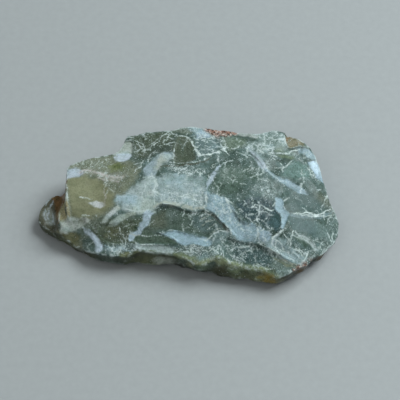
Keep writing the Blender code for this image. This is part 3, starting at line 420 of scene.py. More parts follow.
STROKES = (
    # back rim, thumbprint and the frosted field behind the body
    Stroke(((-12.2, 17.6), (-9.5, 20.6), (-6.3, 23.6), (-5.2, 22.4), (-3, 21.5), (-1.2, 20.6)), 0.5,
        CHALK, 0.65),
    Stroke(((-5, 21.4), (-3, 21.3), (-1, 20.6), (0.4, 18.8), (1.2, 16.4), (1.9, 14.2), (2.6, 12.2)), 0.6,
        CHALK, 0.9),
    Stroke(((-7.1, 24.2), (-3.6, 24.2), (1.3, 24.9), (5.2, 24.6)), 0.35, CHALK, 0.6),
    Stroke(((-3.4, 19.6), (-2.6, 17.6), (-2.2, 15.4), (-2.6, 13.2)), 0.3, SEA_GREEN, 0.6),
    Stroke(((-8.3, 8.4), (-4.2, 7.6), (-0.1, 7.8), (2.9, 8.8), (5.9, 10.7)), 0.4, PALE, 0.25),
    Stroke(((-7.6, 6.9), (-4.4, 7.4), (-0.4, 7.5), (3.2, 8.3)), 1.4, BODY, 0.55),
    Stroke(((-9.8, 5.4), (-6, 6.2), (-1.6, 7.9), (2.9, 9)), 0.4, PALE, 0.3),
    Stroke(((4.7, 1.4), (6.2, 4.4), (8.7, 9.2)), 1.6, srgb(172, 186, 196), 0.85),
    Stroke(((8.1, 8.2), (11.1, 11), (12.8, 11.5)), 0.45, CHALK, 0.7),
    Stroke(((8.7, 14.2), (8.3, 11.3), (8.7, 9.2)), 0.4, CHALK, 0.6),
    Stroke(((1.4, 16.7), (2.9, 12.6), (6.2, 13.5), (8.9, 14.8), (11.2, 17.2)), 0.6, CHALK, 0.85),
    Stroke(((9, 23.1), (10.3, 22.1), (11.3, 22), (12.1, 20.5)), 0.4, CHALK, 0.7),
    Stroke(((10.5, 21.5), (8.9, 18.2), (10.8, 14.5)), 0.4, CHALK, 0.7),
    Stroke(((-12.5, 10.8), (-12.6, 12.6), (-11.6, 14.4)), 0.5, CHALK, 0.7),
    Stroke(((1.9, 14.2), (2.6, 13.3), (5.1, 13.2), (7.7, 13.8), (10, 15.2), (11.9, 13.6)), 0.4, CHALK,
        0.85),
    Stroke(((-7.2, 11), (-4.6, 10.7), (-1.2, 10.2), (1.4, 10.2), (4, 11.1), (5.5, 12.4)), 0.32, CHALK,
        0.75),
    Stroke(((-9.4, 5.6), (-7.2, 6.7), (-4.9, 7.7), (-2.3, 8.2), (0.3, 8.5), (2.9, 9.2)), 0.32, CHALK,
        0.22),
    Stroke(((-8.9, 9.4), (-6.6, 9.2), (-3.8, 9.4), (-1, 9.3), (2, 9.7), (4.4, 10.8), (6, 12)), 0.75,
        DARK_OLIVE, 0.95),
    Stroke(((9.8, 21.6), (10.6, 18.4), (10.2, 16), (9.3, 14.3)), 0.35, CHALK, 0.7),
    Stroke(((6.4, 21.8), (8.2, 20.2), (9.3, 19.4)), 0.35, CHALK, 0.7),
    Stroke(((4.2, 18.8), (6, 19.6), (7.6, 18.6), (9.9, 19)), 0.3, CHALK, 0.6),
    # ridges between the wing, the arm and the body
    Stroke(((-5.3, -0.2), (-3.4, -1.2), (-2.3, -0.7), (-0.1, 0.2), (2.1, -0.6)), 0.3, CHALK, 0.65),
    Stroke(((-3.4, -2.1), (-0.8, -0.9), (0.7, -2.1), (2.9, -1.5), (4.3, -0.8)), 0.3, CHALK, 0.7),
    Stroke(((-7.5, 0.9), (-5.6, -0.2), (-4.5, 0.5)), 0.3, CHALK, 0.6),
    Stroke(((-0.8, -4.4), (2.1, -3.7), (3.6, -2.2)), 0.3, CHALK, 0.65),
    Stroke(((4.3, 0.8), (4.9, -1.6), (4.8, -4.2)), 0.5, CHALK, 0.7),
    Stroke(((-4.9, 3.1), (-2.7, 2.5), (0.3, 3.1), (2.6, 1.4), (4, 1.7)), 0.28, CHALK, 0.45),
    Stroke(((-11.9, 1.1), (-9.7, 0.1), (-7.8, -0.8)), 0.6, CHALK, 0.7),
    Stroke(((-11.3, 6.1), (-10.1, 4.3), (-9.7, 2.1), (-10.4, 0.6)), 0.5, CHALK, 0.65),
    Stroke(((9.9, -1.8), (11, -3.1), (11.7, -4.8), (12.1, -6.3)), 0.5, CHALK, 0.8),
    Stroke(((8.8, -2.8), (9.9, -4.7), (10.2, -6.9)), 0.35, CHALK, 0.6),
    Stroke(((10, -1.8), (11.2, -2.9), (12.5, -3.8)), 0.7, CHALK, 0.75),
    Stroke(((12.1, -6.7), (11.4, -8.3), (12.2, -9.7)), 0.35, CHALK, 0.6),
    Stroke(((13, -9), (15.2, -11), (18.4, -12.6)), 0.3, CHALK, 0.55),
    Stroke(((-11.6, 6.6), (-10.3, 2.7), (-11.1, 0.6), (-9.7, -0.8)), 0.8, CHALK, 0.6),
    Stroke(((-14.6, 4.6), (-13, 5.4), (-10.6, 5.3)), 0.5, CHALK, 0.5),
    Stroke(((-8.6, 3.2), (-4.4, 4.6), (0.2, 4.4), (3.8, 3)), 1.6, MILKY_GREEN, 0.35),
    Stroke(((-19, -4.9), (-14.5, -5.6), (-11.4, -4.8)), 0.6, CHALK, 0.5),
    Stroke(((-10.8, -4.4), (-8.4, -2.9), (-4, -3.4), (1, -4.8), (5, -4.3)), 1.5, srgb(168, 173, 158),
        0.75),
    # right of the body
    Stroke(((27.6, 9.4), (29.5, 11.4), (30.7, 12.8)), 0.4, CHALK, 0.6),
    Stroke(((22.6, 22.4), (25.4, 19.8), (28.6, 20.4)), 0.4, CHALK, 0.7),
    Stroke(((22.3, 23), (22.6, 20.8), (22.1, 16.4)), 0.4, CHALK, 0.6),
    Stroke(((24, 14.9), (27, 15.2), (29.5, 15.3), (30.8, 16.3), (33.2, 17.4)), 0.65, CHALK, 0.85),
    Stroke(((22.7, 8.8), (25, 6.2), (27.7, 4.8), (30, 4.3)), 2.2, PALE_BLUE, 0.75),
    Stroke(((23, 8.5), (24.5, 6.5), (26.7, 5), (28.9, 4.6)), 0.4, CHALK, 0.6),
    Stroke(((19.2, -5), (20.5, -6.6), (19.5, -8.5), (20.3, -10)), 0.45, CHALK, 0.7),
    Stroke(((21.6, -5.3), (23.5, -5.5), (24.8, -6.4)), 0.45, CHALK, 0.65),
    Stroke(((19.5, -11), (19.9, -12.8), (20.2, -15)), 0.5, CHALK, 0.6),
    Stroke(((20.8, -11.9), (21.3, -14.1), (22.6, -15.3)), 0.5, CHALK, 0.6),
    Stroke(((39.1, -1.7), (40.7, 1.8), (41.1, 3.3)), 0.45, CHALK, 0.6),
    Stroke(((43.2, -1.8), (41.3, -4.9), (40, -8.3)), 0.35, CHALK, 0.45),
    Stroke(((28.9, -6.2), (32.4, -6.3), (35.6, -6), (39, -5), (42.4, -3)), 0.6, CHALK, 0.5),
    Stroke(((27.3, -12), (25.1, -13.5), (23.9, -14.7), (23.9, -16.4)), 0.6, CHALK, 0.75),
    Stroke(((27.3, -12.2), (25.5, -13.4), (24, -14.4), (23.7, -15.7)), 0.6, CHALK, 0.8),
    Stroke(((28.1, -12.5), (30.7, -13.6), (32.1, -14.3)), 0.4, CHALK, 0.6),
    Stroke(((19.8, -2.5), (20.5, -4.9), (19.9, -7.4)), 0.5, CHALK, 0.6),
    Stroke(((29.3, 20.6), (29.4, 21.8), (30.5, 23.4)), 1, ORANGE_BROWN, 0.6),
    Stroke(((32.8, 23.6), (34.7, 22.3), (36.1, 20)), 0.7, PALE, 0.7),
    Stroke(((31.4, 18.8), (33.4, 19.6), (35, 19.8)), 1.3, MOSS, 0.6),
    Stroke(((29.2, -14.8), (29.5, -16.2), (28.8, -17.3)), 0.35, CHALK, 0.5),
    Stroke(((35, 13.9), (37, 13.8), (38.8, 13.6)), 0.4, BODY_DEEP, 0.6),
    Stroke(((15.8, -2.6), (16.8, -5.1), (18.7, -5), (19.4, -3.3)), 0.35, CHALK, 0.75),
    Stroke(((16.8, -7.3), (18.2, -6.8), (19.8, -7)), 0.3, CHALK, 0.7),
    Stroke(((18.6, -8.9), (20.1, -8.6), (21.5, -9.4), (22.6, -8.4)), 0.3, CHALK, 0.7),
    Stroke(((17.6, -1), (18.7, -2.6), (18.3, -4.2)), 0.35, CHALK, 0.7),
    Stroke(((21.6, -4.8), (23.1, -5.7), (25.1, -5.6)), 0.45, CHALK, 0.8),
    Stroke(((30.5, -6.4), (33.1, -5.6), (34.7, -5.1), (36.9, -5.8), (38.5, -4.6), (41.1, -2),
        (43.2, -1.4)), 0.5, CHALK, 0.85),
    Stroke(((33.9, -5.2), (35.4, -5), (37.5, -5.5), (38.3, -5.4)), 0.8, CHALK, 0.75),
    Stroke(((24.2, -14.2), (26, -15.5), (27.2, -17), (30.2, -18.8)), 0.35, CHALK, 0.7),
    Stroke(((27.2, -13.1), (28.7, -14.8), (28.3, -16.8)), 0.35, CHALK, 0.7),
    Stroke(((23.8, -16.1), (25.5, -17.4), (26.2, -18.8)), 0.3, CHALK, 0.6),
    Stroke(((29.2, -17), (31.7, -17.6), (33.4, -18.8)), 0.35, CHALK, 0.7),
    # front
    Stroke(((2.4, -8), (3.6, -7.4), (5.8, -6.6)), 0.32, VEIN, 0.7),
    Stroke(((3.2, -9.6), (4.6, -8.6), (7.3, -7.9)), 0.3, VEIN, 0.7),
    Stroke(((4.8, -11.1), (7, -9.4), (8.8, -9)), 0.3, VEIN, 0.75),
    Stroke(((5.8, -12.4), (8, -10.9), (9.8, -10.6)), 0.3, VEIN, 0.75),
    Stroke(((11.7, -14.5), (14.1, -15.9), (16.8, -15.5), (19, -16.9)), 0.32, CHALK, 0.6),
    Stroke(((10.7, -16.3), (11.7, -18.1), (14.1, -18.8), (16.8, -20)), 0.32, CHALK, 0.6),
    Stroke(((-1.8, -7.5), (-2.3, -9.8), (-2, -11.8)), 0.3, CHALK, 0.55),
    Stroke(((2.1, -7.2), (4.3, -6.3), (6.6, -6.2)), 0.35, CHALK, 0.45),
    Stroke(((2.6, -8.6), (3.8, -7.6), (6.2, -7.8)), 0.35, CHALK, 0.4),
    Stroke(((2.9, -13.8), (5.1, -14.1), (6.5, -12.6), (8.7, -11.5), (11.3, -11.5)), 0.5, CHALK, 0.75),
    Stroke(((5.1, -15), (5.8, -16.8)), 0.4, CHALK, 0.6),
    Stroke(((-4.8, -15.8), (-3, -17), (-0.1, -17.3), (2.9, -16.9)), 0.35, CHALK, 0.5),
    Stroke(((11.7, -16.5), (13.9, -16), (16.4, -15.9), (18.2, -15.1)), 0.45, CHALK, 0.6),
    Stroke(((20.4, -15.8), (23.7, -17.4), (26.2, -19), (27.7, -20.2), (31.4, -21.4)), 0.45, CHALK, 0.55),
    Stroke(((-15.2, -12), (-12, -12.3), (-8.5, -12.2)), 0.3, CHALK, 0.9),
    Stroke(((3.6, -5.6), (6, -6.2), (8.4, -8.6), (10.6, -11.2), (12.4, -12.6)), 0.35, ORANGE_BROWN, 0.2),
    Stroke(((24.2, -18.9), (26.2, -20.1), (27.8, -21.1), (31, -21.8)), 1.1, OLIVE, 0.55),
    Stroke(((26.3, -19.5), (28.1, -20.4), (29.9, -21), (31.7, -21.4)), 0.5, srgb(178, 180, 160), 0.7),
    Stroke(((-4.8, -17.9), (-1.2, -19.4), (2.9, -20.4), (6.5, -19.9), (11.3, -20.7), (14.6, -21.3)), 1.3,
        OLIVE, 0.45),
    Stroke(((11.7, -21.6), (14.6, -21.9), (20.5, -23), (24.9, -24.4), (27.1, -24.5)), 1.2, MOSS, 0.6),
    # amber along the front rim: painted light shining through it
    Stroke(((19.4, -23), (22, -23.6), (24.6, -24.4)), 1.8, LIT_THROUGH_AMBER, 0.8),
    Stroke(((-25.2, -14.1), (-23.7, -14.9), (-22.2, -15.9), (-20.7, -15), (-19.2, -15.6), (-17.7, -16.1)),
        0.9, SKY_REFLECTION, 0.65),
    # block, tongue and the left
    Stroke(((-33, -0.6), (-31.2, -0.7), (-29.3, -1.5)), 0.45, CHALK, 0.75),
    Stroke(((-32.2, -5.5), (-30, -6)), 0.4, CHALK, 0.7),
    Stroke(((-37.1, 8.6), (-37.1, 5.2), (-36.6, 0.6), (-35.8, -3.4), (-35.2, -6.2)), 0.7, PALE_GREEN,
        0.4),
    Stroke(((-33, 8.8), (-30.9, 9.4), (-28, 8.2), (-25.5, 7), (-22.9, 6.1), (-20.2, 5.8)), 1.1,
        PINK_WHITE, 0.85),
    Stroke(((-27.7, 6.6), (-25.4, 5.3), (-23.2, 5.1), (-21.3, 4.3)), 0.9, PINK_WHITE, 0.8),
    Stroke(((-25.8, 4.1), (-23.8, 1.7), (-22.7, 0.5)), 0.4, VEIN, 0.8),
    Stroke(((-25.5, 7.2), (-25, 3.5), (-25.7, 1.8)), 0.35, VEIN, 0.75),
    Stroke(((-24.1, 3.1), (-24.6, 0.8), (-25.6, -0.4)), 0.4, VEIN, 0.75),
    Stroke(((-32.6, 13.5), (-32.2, 12.8), (-32.8, 10.7)), 0.4, VEIN, 0.8),
    Stroke(((-30.4, 13.6), (-29.7, 12.4), (-29.9, 10.6)), 0.35, VEIN, 0.75),
    Stroke(((-27.2, 13.9), (-27.6, 12.6), (-28.8, 11)), 0.35, VEIN, 0.7),
    Stroke(((-24.1, -11.7), (-21.1, -11.5), (-17.8, -11.7), (-15, -12)), 0.3, VEIN, 0.8),
    Stroke(((-25.6, 2.2), (-25.1, -1.4), (-25.4, -3.4)), 0.6, PINK_WHITE, 0.45),
    Stroke(((-42.3, 3.7), (-43.1, 2.5), (-43.9, 1.2)), 0.55, PEARL, 0.85),
    Stroke(((-41.6, 3.2), (-42.3, 1.4), (-42.7, -0.5)), 0.5, PEARL, 0.8),
    Stroke(((-43.8, 0.5), (-44, -2.1), (-43.3, -4.6)), 0.65, PEARL, 0.85),
    Stroke(((-42.8, 0), (-43, -2.3), (-42.1, -4.6)), 0.65, PEARL, 0.85),
    Stroke(((-41.5, -1.1), (-41.2, -3.4), (-40.6, -6)), 0.5, PEARL, 0.75),
    Stroke(((-40.2, -4.6), (-39.3, -5), (-39.2, -7.2)), 0.7, ORANGE_BROWN, 0.7),
)

# Borders between facets that hardly show as steps, and how wide they are smoothed
HEALED_WIDTH = 5.0
HEALED = (
    ((-11.2, 7.4), (-11.2, 2), (-11.2, -2), (-11.2, -6.4)),
    ((4, 5.6), (5, 1.6), (5.3, -0.6), (5.6, -5.4)),
    ((28.8, -6.2), (34, -6.6), (40, -6.2)),
    ((20.2, -12), (22.6, -13.4), (26.2, -15), (30, -17.2), (33.6, -19)),
)

# Clear and weathered stone along the rim and the walls, with painted light shining through the thin front
# rim, painted shade low on the front wall and a painted sheen on it
GLOWS = (
    Glow((-43, -8, 3), 5, DARK_OLIVE, 0.9),
    Glow((-38, -13, 3), 5, BROWN_GREEN, 0.9),
    Glow((-31, -16, 3), 4.5, DARK_OLIVE, 0.85),
    Glow((-24, -18, 2.5), 4, DARK_GREEN, 0.8),
    Glow((-17, -19, 2.5), 4, BROWN_GREEN, 0.8),
    Glow((-12, -18.5, 4), 4.5, BROWN_GREEN, 0.95),
    # the two ash balls at the front middle: a painted sheen on the wall
    Glow((-6, -19, 4.6), 2.4, ASH_AND_SHEEN, 0.7),
    Glow((-9, -18, 5), 2.2, ASH_AND_SHEEN, 0.7),
    Glow((-32, -13, 5), 2.6, ASH_AND_SHEEN, 0.5),
    # near black low on the front wall: painted shade
    Glow((-4, -20, 1.8), 4.5, SHADE_BLACK, 0.95),
    Glow((3, -21, 2.5), 4.5, SHADE_BLACK, 0.9),
    # olive and moss high on the front wall: the stone's colour, partly painted light shining through the
    # thin rim
    Glow((4, -21, 6.2), 2.6, MOSS, 0.85),
    Glow((0, -19.8, 5.8), 2, OLIVE, 0.7),
    Glow((9, -21, 6.4), 2.4, OLIVE, 0.7),
    Glow((14, -22, 6.2), 2.4, MOSS, 0.8),
    Glow((18, -23, 5.8), 2.2, MOSS, 0.8),
    Glow((9, -22.5, 3.5), 5, DARK_OLIVE, 0.95),
    # painted shade low on the front wall
    Glow((8, -22.5, 2), 3.6, SHADE_BLACK, 0.6),
    Glow((15, -24, 3.8), 4.5, BROWN_GREEN, 0.9),
    Glow((20, -24.5, 3.5), 4, OLIVE, 0.7),
    # amber at the right of the front wall: painted light shining through the thin rim
    Glow((23.5, -25, 4.2), 3.4, LIT_THROUGH_AMBER, 0.9),
    Glow((27, -25, 3), 3, OLIVE, 0.7),
    Glow((33, -22.5, 4.5), 3, ORANGE_BROWN, 0.5),
    Glow((39.5, -17, 4.5), 3, ORANGE_BROWN, 0.5),
    Glow((44.5, -4, 4), 3, ORANGE_BROWN, 0.35),
    Glow((21, 23.2, 12), 1.6, OLIVE, 0.8),
    Glow((30.2, 19, 10.5), 1.6, ORANGE_BROWN, 0.4),
    Glow((-41, 4.6, 4), 2.6, BROWN, 0.8),
    Glow((-45, -1, 3), 3.5, BROWN_GREEN, 0.8),
)

# Rusty, pitted crust: middle and reach
CRUSTS = (
    ((5.6, 24.2, 12.5), 2.1),
    ((7.4, 23.9, 12.6), 2.5),
    ((9.4, 23.4, 12.6), 2.5),
    ((11.4, 23, 12.6), 2.3),
    ((13.2, 22.9, 12.6), 1.5),
    ((6.6, 22.4, 12.4), 1.3),
    ((8.2, 21.8, 12.4), 1.8),
    ((10.2, 21.5, 12.4), 1.8),
    ((12, 21.8, 12.4), 1.2),
    ((30.4, -22.6, 7.2), 0.9),
    ((31.8, -21.9, 7.2), 1.4),
    ((33.4, -20.7, 7.2), 1.3),
    ((35.2, -19.1, 7), 1.2),
    ((37.6, -17.4, 6.4), 0.7),
)


# --- plan geometry --------------------------------------------------------------------------
def inside_distance(points, outline):
    """Distance from each plan point to a closed outline, positive inside it."""
    a = np.array(outline, float)
    b = np.roll(a, -1, axis=0)
    run = b - a
    offset = points[:, None, :] - a[None]
    share = np.clip((offset * run).sum(2) / (run * run).sum(1), 0, 1)
    distance = np.linalg.norm(offset - share[..., None] * run, axis=2).min(axis=1)
    above = (a[:, 1] > points[:, 1, None]) != (b[:, 1] > points[:, 1, None])
    rise = np.where(run[:, 1] == 0, 1e-9, run[:, 1])
    crossing = a[:, 0] + run[:, 0] * (points[:, 1, None] - a[:, 1]) / rise
    inside = (above & (points[:, 0, None] < crossing)).sum(axis=1) % 2 == 1
    return np.where(inside, distance, -distance)


def near_box(points, shape, margin):
    """Indices of the plan points within a margin of a shape's box."""
    shape = np.array(shape, float)
    low, high = shape.min(axis=0) - margin, shape.max(axis=0) + margin
    return np.flatnonzero(((points > low) & (points < high)).all(axis=1))


def outline_cover(points, outline, soft):
    """1 well inside an outline, 0 well outside it, smooth across its border."""
    cover = np.zeros(len(points))
    near = near_box(points, outline, soft)
    if len(near):
        cover[near] = smooth(0.5 + 0.5 * inside_distance(points[near], outline) / soft)
    return cover


def stroke_cover(points, stroke):
    """How much of a drawn line lies on each plan point; the line thins towards its ends."""
    cover = np.zeros(len(points))
    near = near_box(points, stroke.path, stroke.width * 2)
    if not len(near):
        return cover
    path = np.array(stroke.path, float)
    start, run = path[:-1], np.diff(path, axis=0)
    offset = points[near][:, None, :] - start[None]
    share = np.clip((offset * run).sum(2) / (run * run).sum(1), 0, 1)
    distance = np.linalg.norm(offset - share[..., None] * run, axis=2)
    nearest = distance.argmin(axis=1)
    rows = np.arange(len(near))
    along = np.clip((nearest + share[rows, nearest]) / len(run), TIP, 1 - TIP)
    half = stroke.width * (THIN_SHARE + (1 - THIN_SHARE) * np.sin(np.pi * along) ** THINNING) / 2
    cover[near] = stroke.cover * smooth(1.2 - distance[rows, nearest] / half)
    return cover


def ball_cover(points, middle, reach):
    """1 near the middle of a soft ball, fading to 0 just past its reach."""
    return smooth(1.15 - np.linalg.norm(points - np.array(middle), axis=1) / reach)


def smooth(value):
    """A value clipped to 0 and 1, and eased at both."""
    value = np.clip(value, 0, 1)
    return value * value * (3 - 2 * value)


# --- broken relief --------------------------------------------------------------------------
class Seeds:
    """Scattered points in space, for chips and flakes."""

    def __init__(self, cell, low, high, seed):
        rng = np.random.RandomState(seed)
        low, high = np.array(low) - cell, np.array(high) + cell
        count = int(np.prod((high - low) / cell))
        places = low + (high - low) * rng.rand(count, 3)
        self.tree = kdtree.KDTree(count)
        for index, place in enumerate(places):
            self.tree.insert(place, index)
        self.tree.balance()
        self.luck = rng.rand(count)

    def nearest(self, points):
        """Each point's nearest seed and its distance."""
        find = self.tree.find
        found = [find(point)[1:] for point in points.tolist()]
        return np.array([hit[0] for hit in found]), np.array([hit[1] for hit in found])


def chips(points, cell, seed):
    """Flat chips with sharp edges, about one cell wide, from -1 to 1."""
    low, high = points.min(axis=0), points.max(axis=0)
    first = Seeds(cell, low, high, seed).nearest(points)[1]
    second = Seeds(cell, low, high, seed + 500).nearest(points)[1]
    return (first ** 2 - second ** 2) / cell ** 2


def flake_luck(points, cell, seed):
    """One random number from 0 to 1 for each flake of about one cell."""
    flakes = Seeds(cell, points.min(axis=0), points.max(axis=0), seed)
    return flakes.luck[flakes.nearest(points)[0]]


def wander(points, size, amount):
    """A smooth random offset of each point, the same in every run."""
    noise.seed_set(WANDER_SEED)
    step = noise.noise_vector
    moved = [step(Vector(point)) for point in (points / size).tolist()]
    return np.array([tuple(vector) for vector in moved]) * amount


def wandering_paths(rng, starts, step, longest):
    """Points along jagged cracks that keep to one direction."""
    count = len(starts)
    kinks = np.repeat(rng.normal(0, KINK, (count, longest // KINK_POINTS)), KINK_POINTS, axis=1)
    sway = np.repeat(rng.normal(0, SWAY, (count, longest // SWAY_POINTS)), SWAY_POINTS, axis=1)
    headings = rng.uniform(0, 2 * np.pi, (count, 1)) + kinks + sway
    strides = step * np.dstack((np.cos(headings), np.sin(headings)))
    paths = starts[:, None] + np.cumsum(strides, axis=1)
    kept = np.arange(longest) < rng.randint(longest // SHORTEST, longest, (count, 1))
    return paths[kept], np.repeat(rng.rand(count), kept.sum(axis=1))


class Cracks:
    """Fine branching cracks of the upper face, each with its own rarity from 0 to 1."""

    def __init__(self, count, step, longest, seed):
        rng = np.random.RandomState(seed)
        starts = rng.uniform(*CRACK_FIELD, (count, 2))
        stems, stem_rarity = wandering_paths(rng, starts, step, longest)
        knots = stems[rng.randint(0, len(stems), count)]
        twigs, twig_rarity = wandering_paths(rng, knots, step, longest * 2 // 3)
        self.rarity = np.r_[stem_rarity, twig_rarity]
        self.tree = kdtree.KDTree(len(self.rarity))
        for index, (x, y) in enumerate(np.r_[stems, twigs]):
            self.tree.insert((x, y, 0), index)
        self.tree.balance()

    def cover(self, plan, dust, half):
        """How much of a crack lies on each plan point; rare cracks show in dusty places alone."""
        find = self.tree.find
        found = [find((x, y, 0))[1:] for x, y in plan.tolist()]
        distance = np.array([hit[1] for hit in found])
        rarity = self.rarity[[hit[0] for hit in found]]
        strength = 0.55 + 0.45 * (rarity * 7.7 % 1)
        showing = smooth(0.5 + (dust - 0.15 - 1.25 * rarity) / 0.20)
        return strength * smooth(1.35 - distance / half) * showing


def clouds(points, size, seed):
    """Smooth noise from about -1 to 1."""
    shift = Vector([seed * step for step in CLOUD_STEPS])
    value = noise.noise
    return np.array([value(Vector(point) + shift) for point in (points / size).tolist()]) * CLOUD_GAIN


# --- the visible stone ----------------------------------------------------------------------
def select_only(thing):
    bpy.ops.object.select_all(action="DESELECT")
    thing.select_set(True)
    bpy.context.view_layer.objects.active = thing


def copied_node(name):
    """A merged copy of a solid, ready to be worked on."""
    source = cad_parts[name]
    stone = source.copy()
    stone.data = source.data.copy()
    stone.parent = None
    stone.name = "broken_stone"
    bpy.context.scene.collection.objects.link(stone)
    select_only(stone)
    bpy.ops.object.mode_set(mode="EDIT")
    bpy.ops.mesh.select_mode(type="EDGE")
    bpy.ops.mesh.select_all(action="SELECT")
    bpy.ops.mesh.remove_doubles(threshold=MERGE_GAP * MM)
    bpy.ops.object.mode_set(mode="OBJECT")
    return stone


def face_limits(mesh):
    """How long an edge may be round each face, by the way the face looks."""
    normals = read(mesh.polygons, "normal", 3)
    limits = np.full(len(normals), WALL_EDGE)
    limits[normals[:, 2] > LOOKS_UP] = TOP_EDGE
    limits[normals[:, 2] < LOOKS_DOWN] = UNDER_EDGE
    return limits * 1.0 * MM


def refine(stone):
    """Subdivides long edges in edit mode until the faces are fine enough."""
    mesh = stone.data
    select_only(stone)
    for _ in range(SPLIT_ROUNDS):
        points = read_points(mesh)
        ends = read(mesh.edges, "vertices", 2, np.int32)
        length = np.linalg.norm(points[ends[:, 0]] - points[ends[:, 1]], axis=1)
        allowed = np.full(len(ends), np.inf)
        loop_edges = read(mesh.loops, "edge_index", 1, np.int32)
        np.minimum.at(allowed, loop_edges, np.repeat(face_limits(mesh), 3))
        long_edges = length > allowed * SPLIT_SLACK
        if not long_edges.any():
            break
        bpy.ops.object.mode_set(mode="EDIT")
        bpy.ops.mesh.select_all(action="DESELECT")
        bpy.ops.object.mode_set(mode="OBJECT")
        mesh.edges.foreach_set("select", long_edges)
        bpy.ops.object.mode_set(mode="EDIT")
        bpy.ops.mesh.subdivide(number_cuts=1)
        bpy.ops.mesh.select_all(action="SELECT")
        bpy.ops.mesh.quads_convert_to_tris()
        bpy.ops.object.mode_set(mode="OBJECT")


def collapse_slivers():
    """Removes faces that splitting leaves without area, whose normals vary from run to run."""
    bpy.ops.object.mode_set(mode="EDIT")
    bpy.ops.mesh.select_all(action="SELECT")
    bpy.ops.mesh.dissolve_degenerate(threshold=MERGE_GAP * MM)
    bpy.ops.mesh.select_all(action="SELECT")
    bpy.ops.mesh.quads_convert_to_tris()
    bpy.ops.object.mode_set(mode="OBJECT")


def read(items, name, width, kind=np.float64):
    """One value or one row of values for each of a mesh's items."""
    values = np.empty(len(items) * width, dtype=kind)
    items.foreach_get(name, values)
    return values.reshape(-1, width) if width > 1 else values


def read_points(mesh):
    return read(mesh.vertices, "co", 3)


def move_inside_box(mesh, points):
    """Moves the vertices to new places in millimetres, none of them beyond the solid's own box."""
    low, high = np.array(CAD_BOX) / MM
    mesh.vertices.foreach_set("co", (np.clip(points, low, high) * MM).ravel())
    mesh.update()


def relaxed(values, ends, rounds, share):
    """Values averaged with their neighbours' along the mesh."""
    count = np.zeros(len(values))
    np.add.at(count, ends.ravel(), 1)
    count = np.maximum(count, 1).reshape(-1, *([1] * (values.ndim - 1)))
    for _ in range(rounds):
        total = np.zeros_like(values)
        np.add.at(total, ends[:, 0], values[ends[:, 1]])
        np.add.at(total, ends[:, 1], values[ends[:, 0]])
        values = values + share * (total / count - values)
    return values


def calmed(points, ends, rounds):
    """Points without the spikes that thin triangles leave."""
    for _ in range(rounds):
        gap = points - relaxed(points, ends, rounds=1, share=1.0)
        wild = smooth((np.linalg.norm(gap, axis=1) - SPIKE) / SPIKE_SPREAD)
        points = points - gap * wild[:, None]
    return points


def paint(mesh, name, values):
    """Stores a value or a colour at every vertex."""
    if values.ndim == 1:
        layer = mesh.attributes.new(name, "FLOAT", "POINT")
        layer.data.foreach_set("value", values)
    else:
        layer = mesh.attributes.new(name, "FLOAT_COLOR", "POINT")
        layer.data.foreach_set("color", np.c_[values, np.ones(len(values))].ravel())


def mix(under, over, cover):
    return under + (over - under) * np.asarray(cover)[:, None]


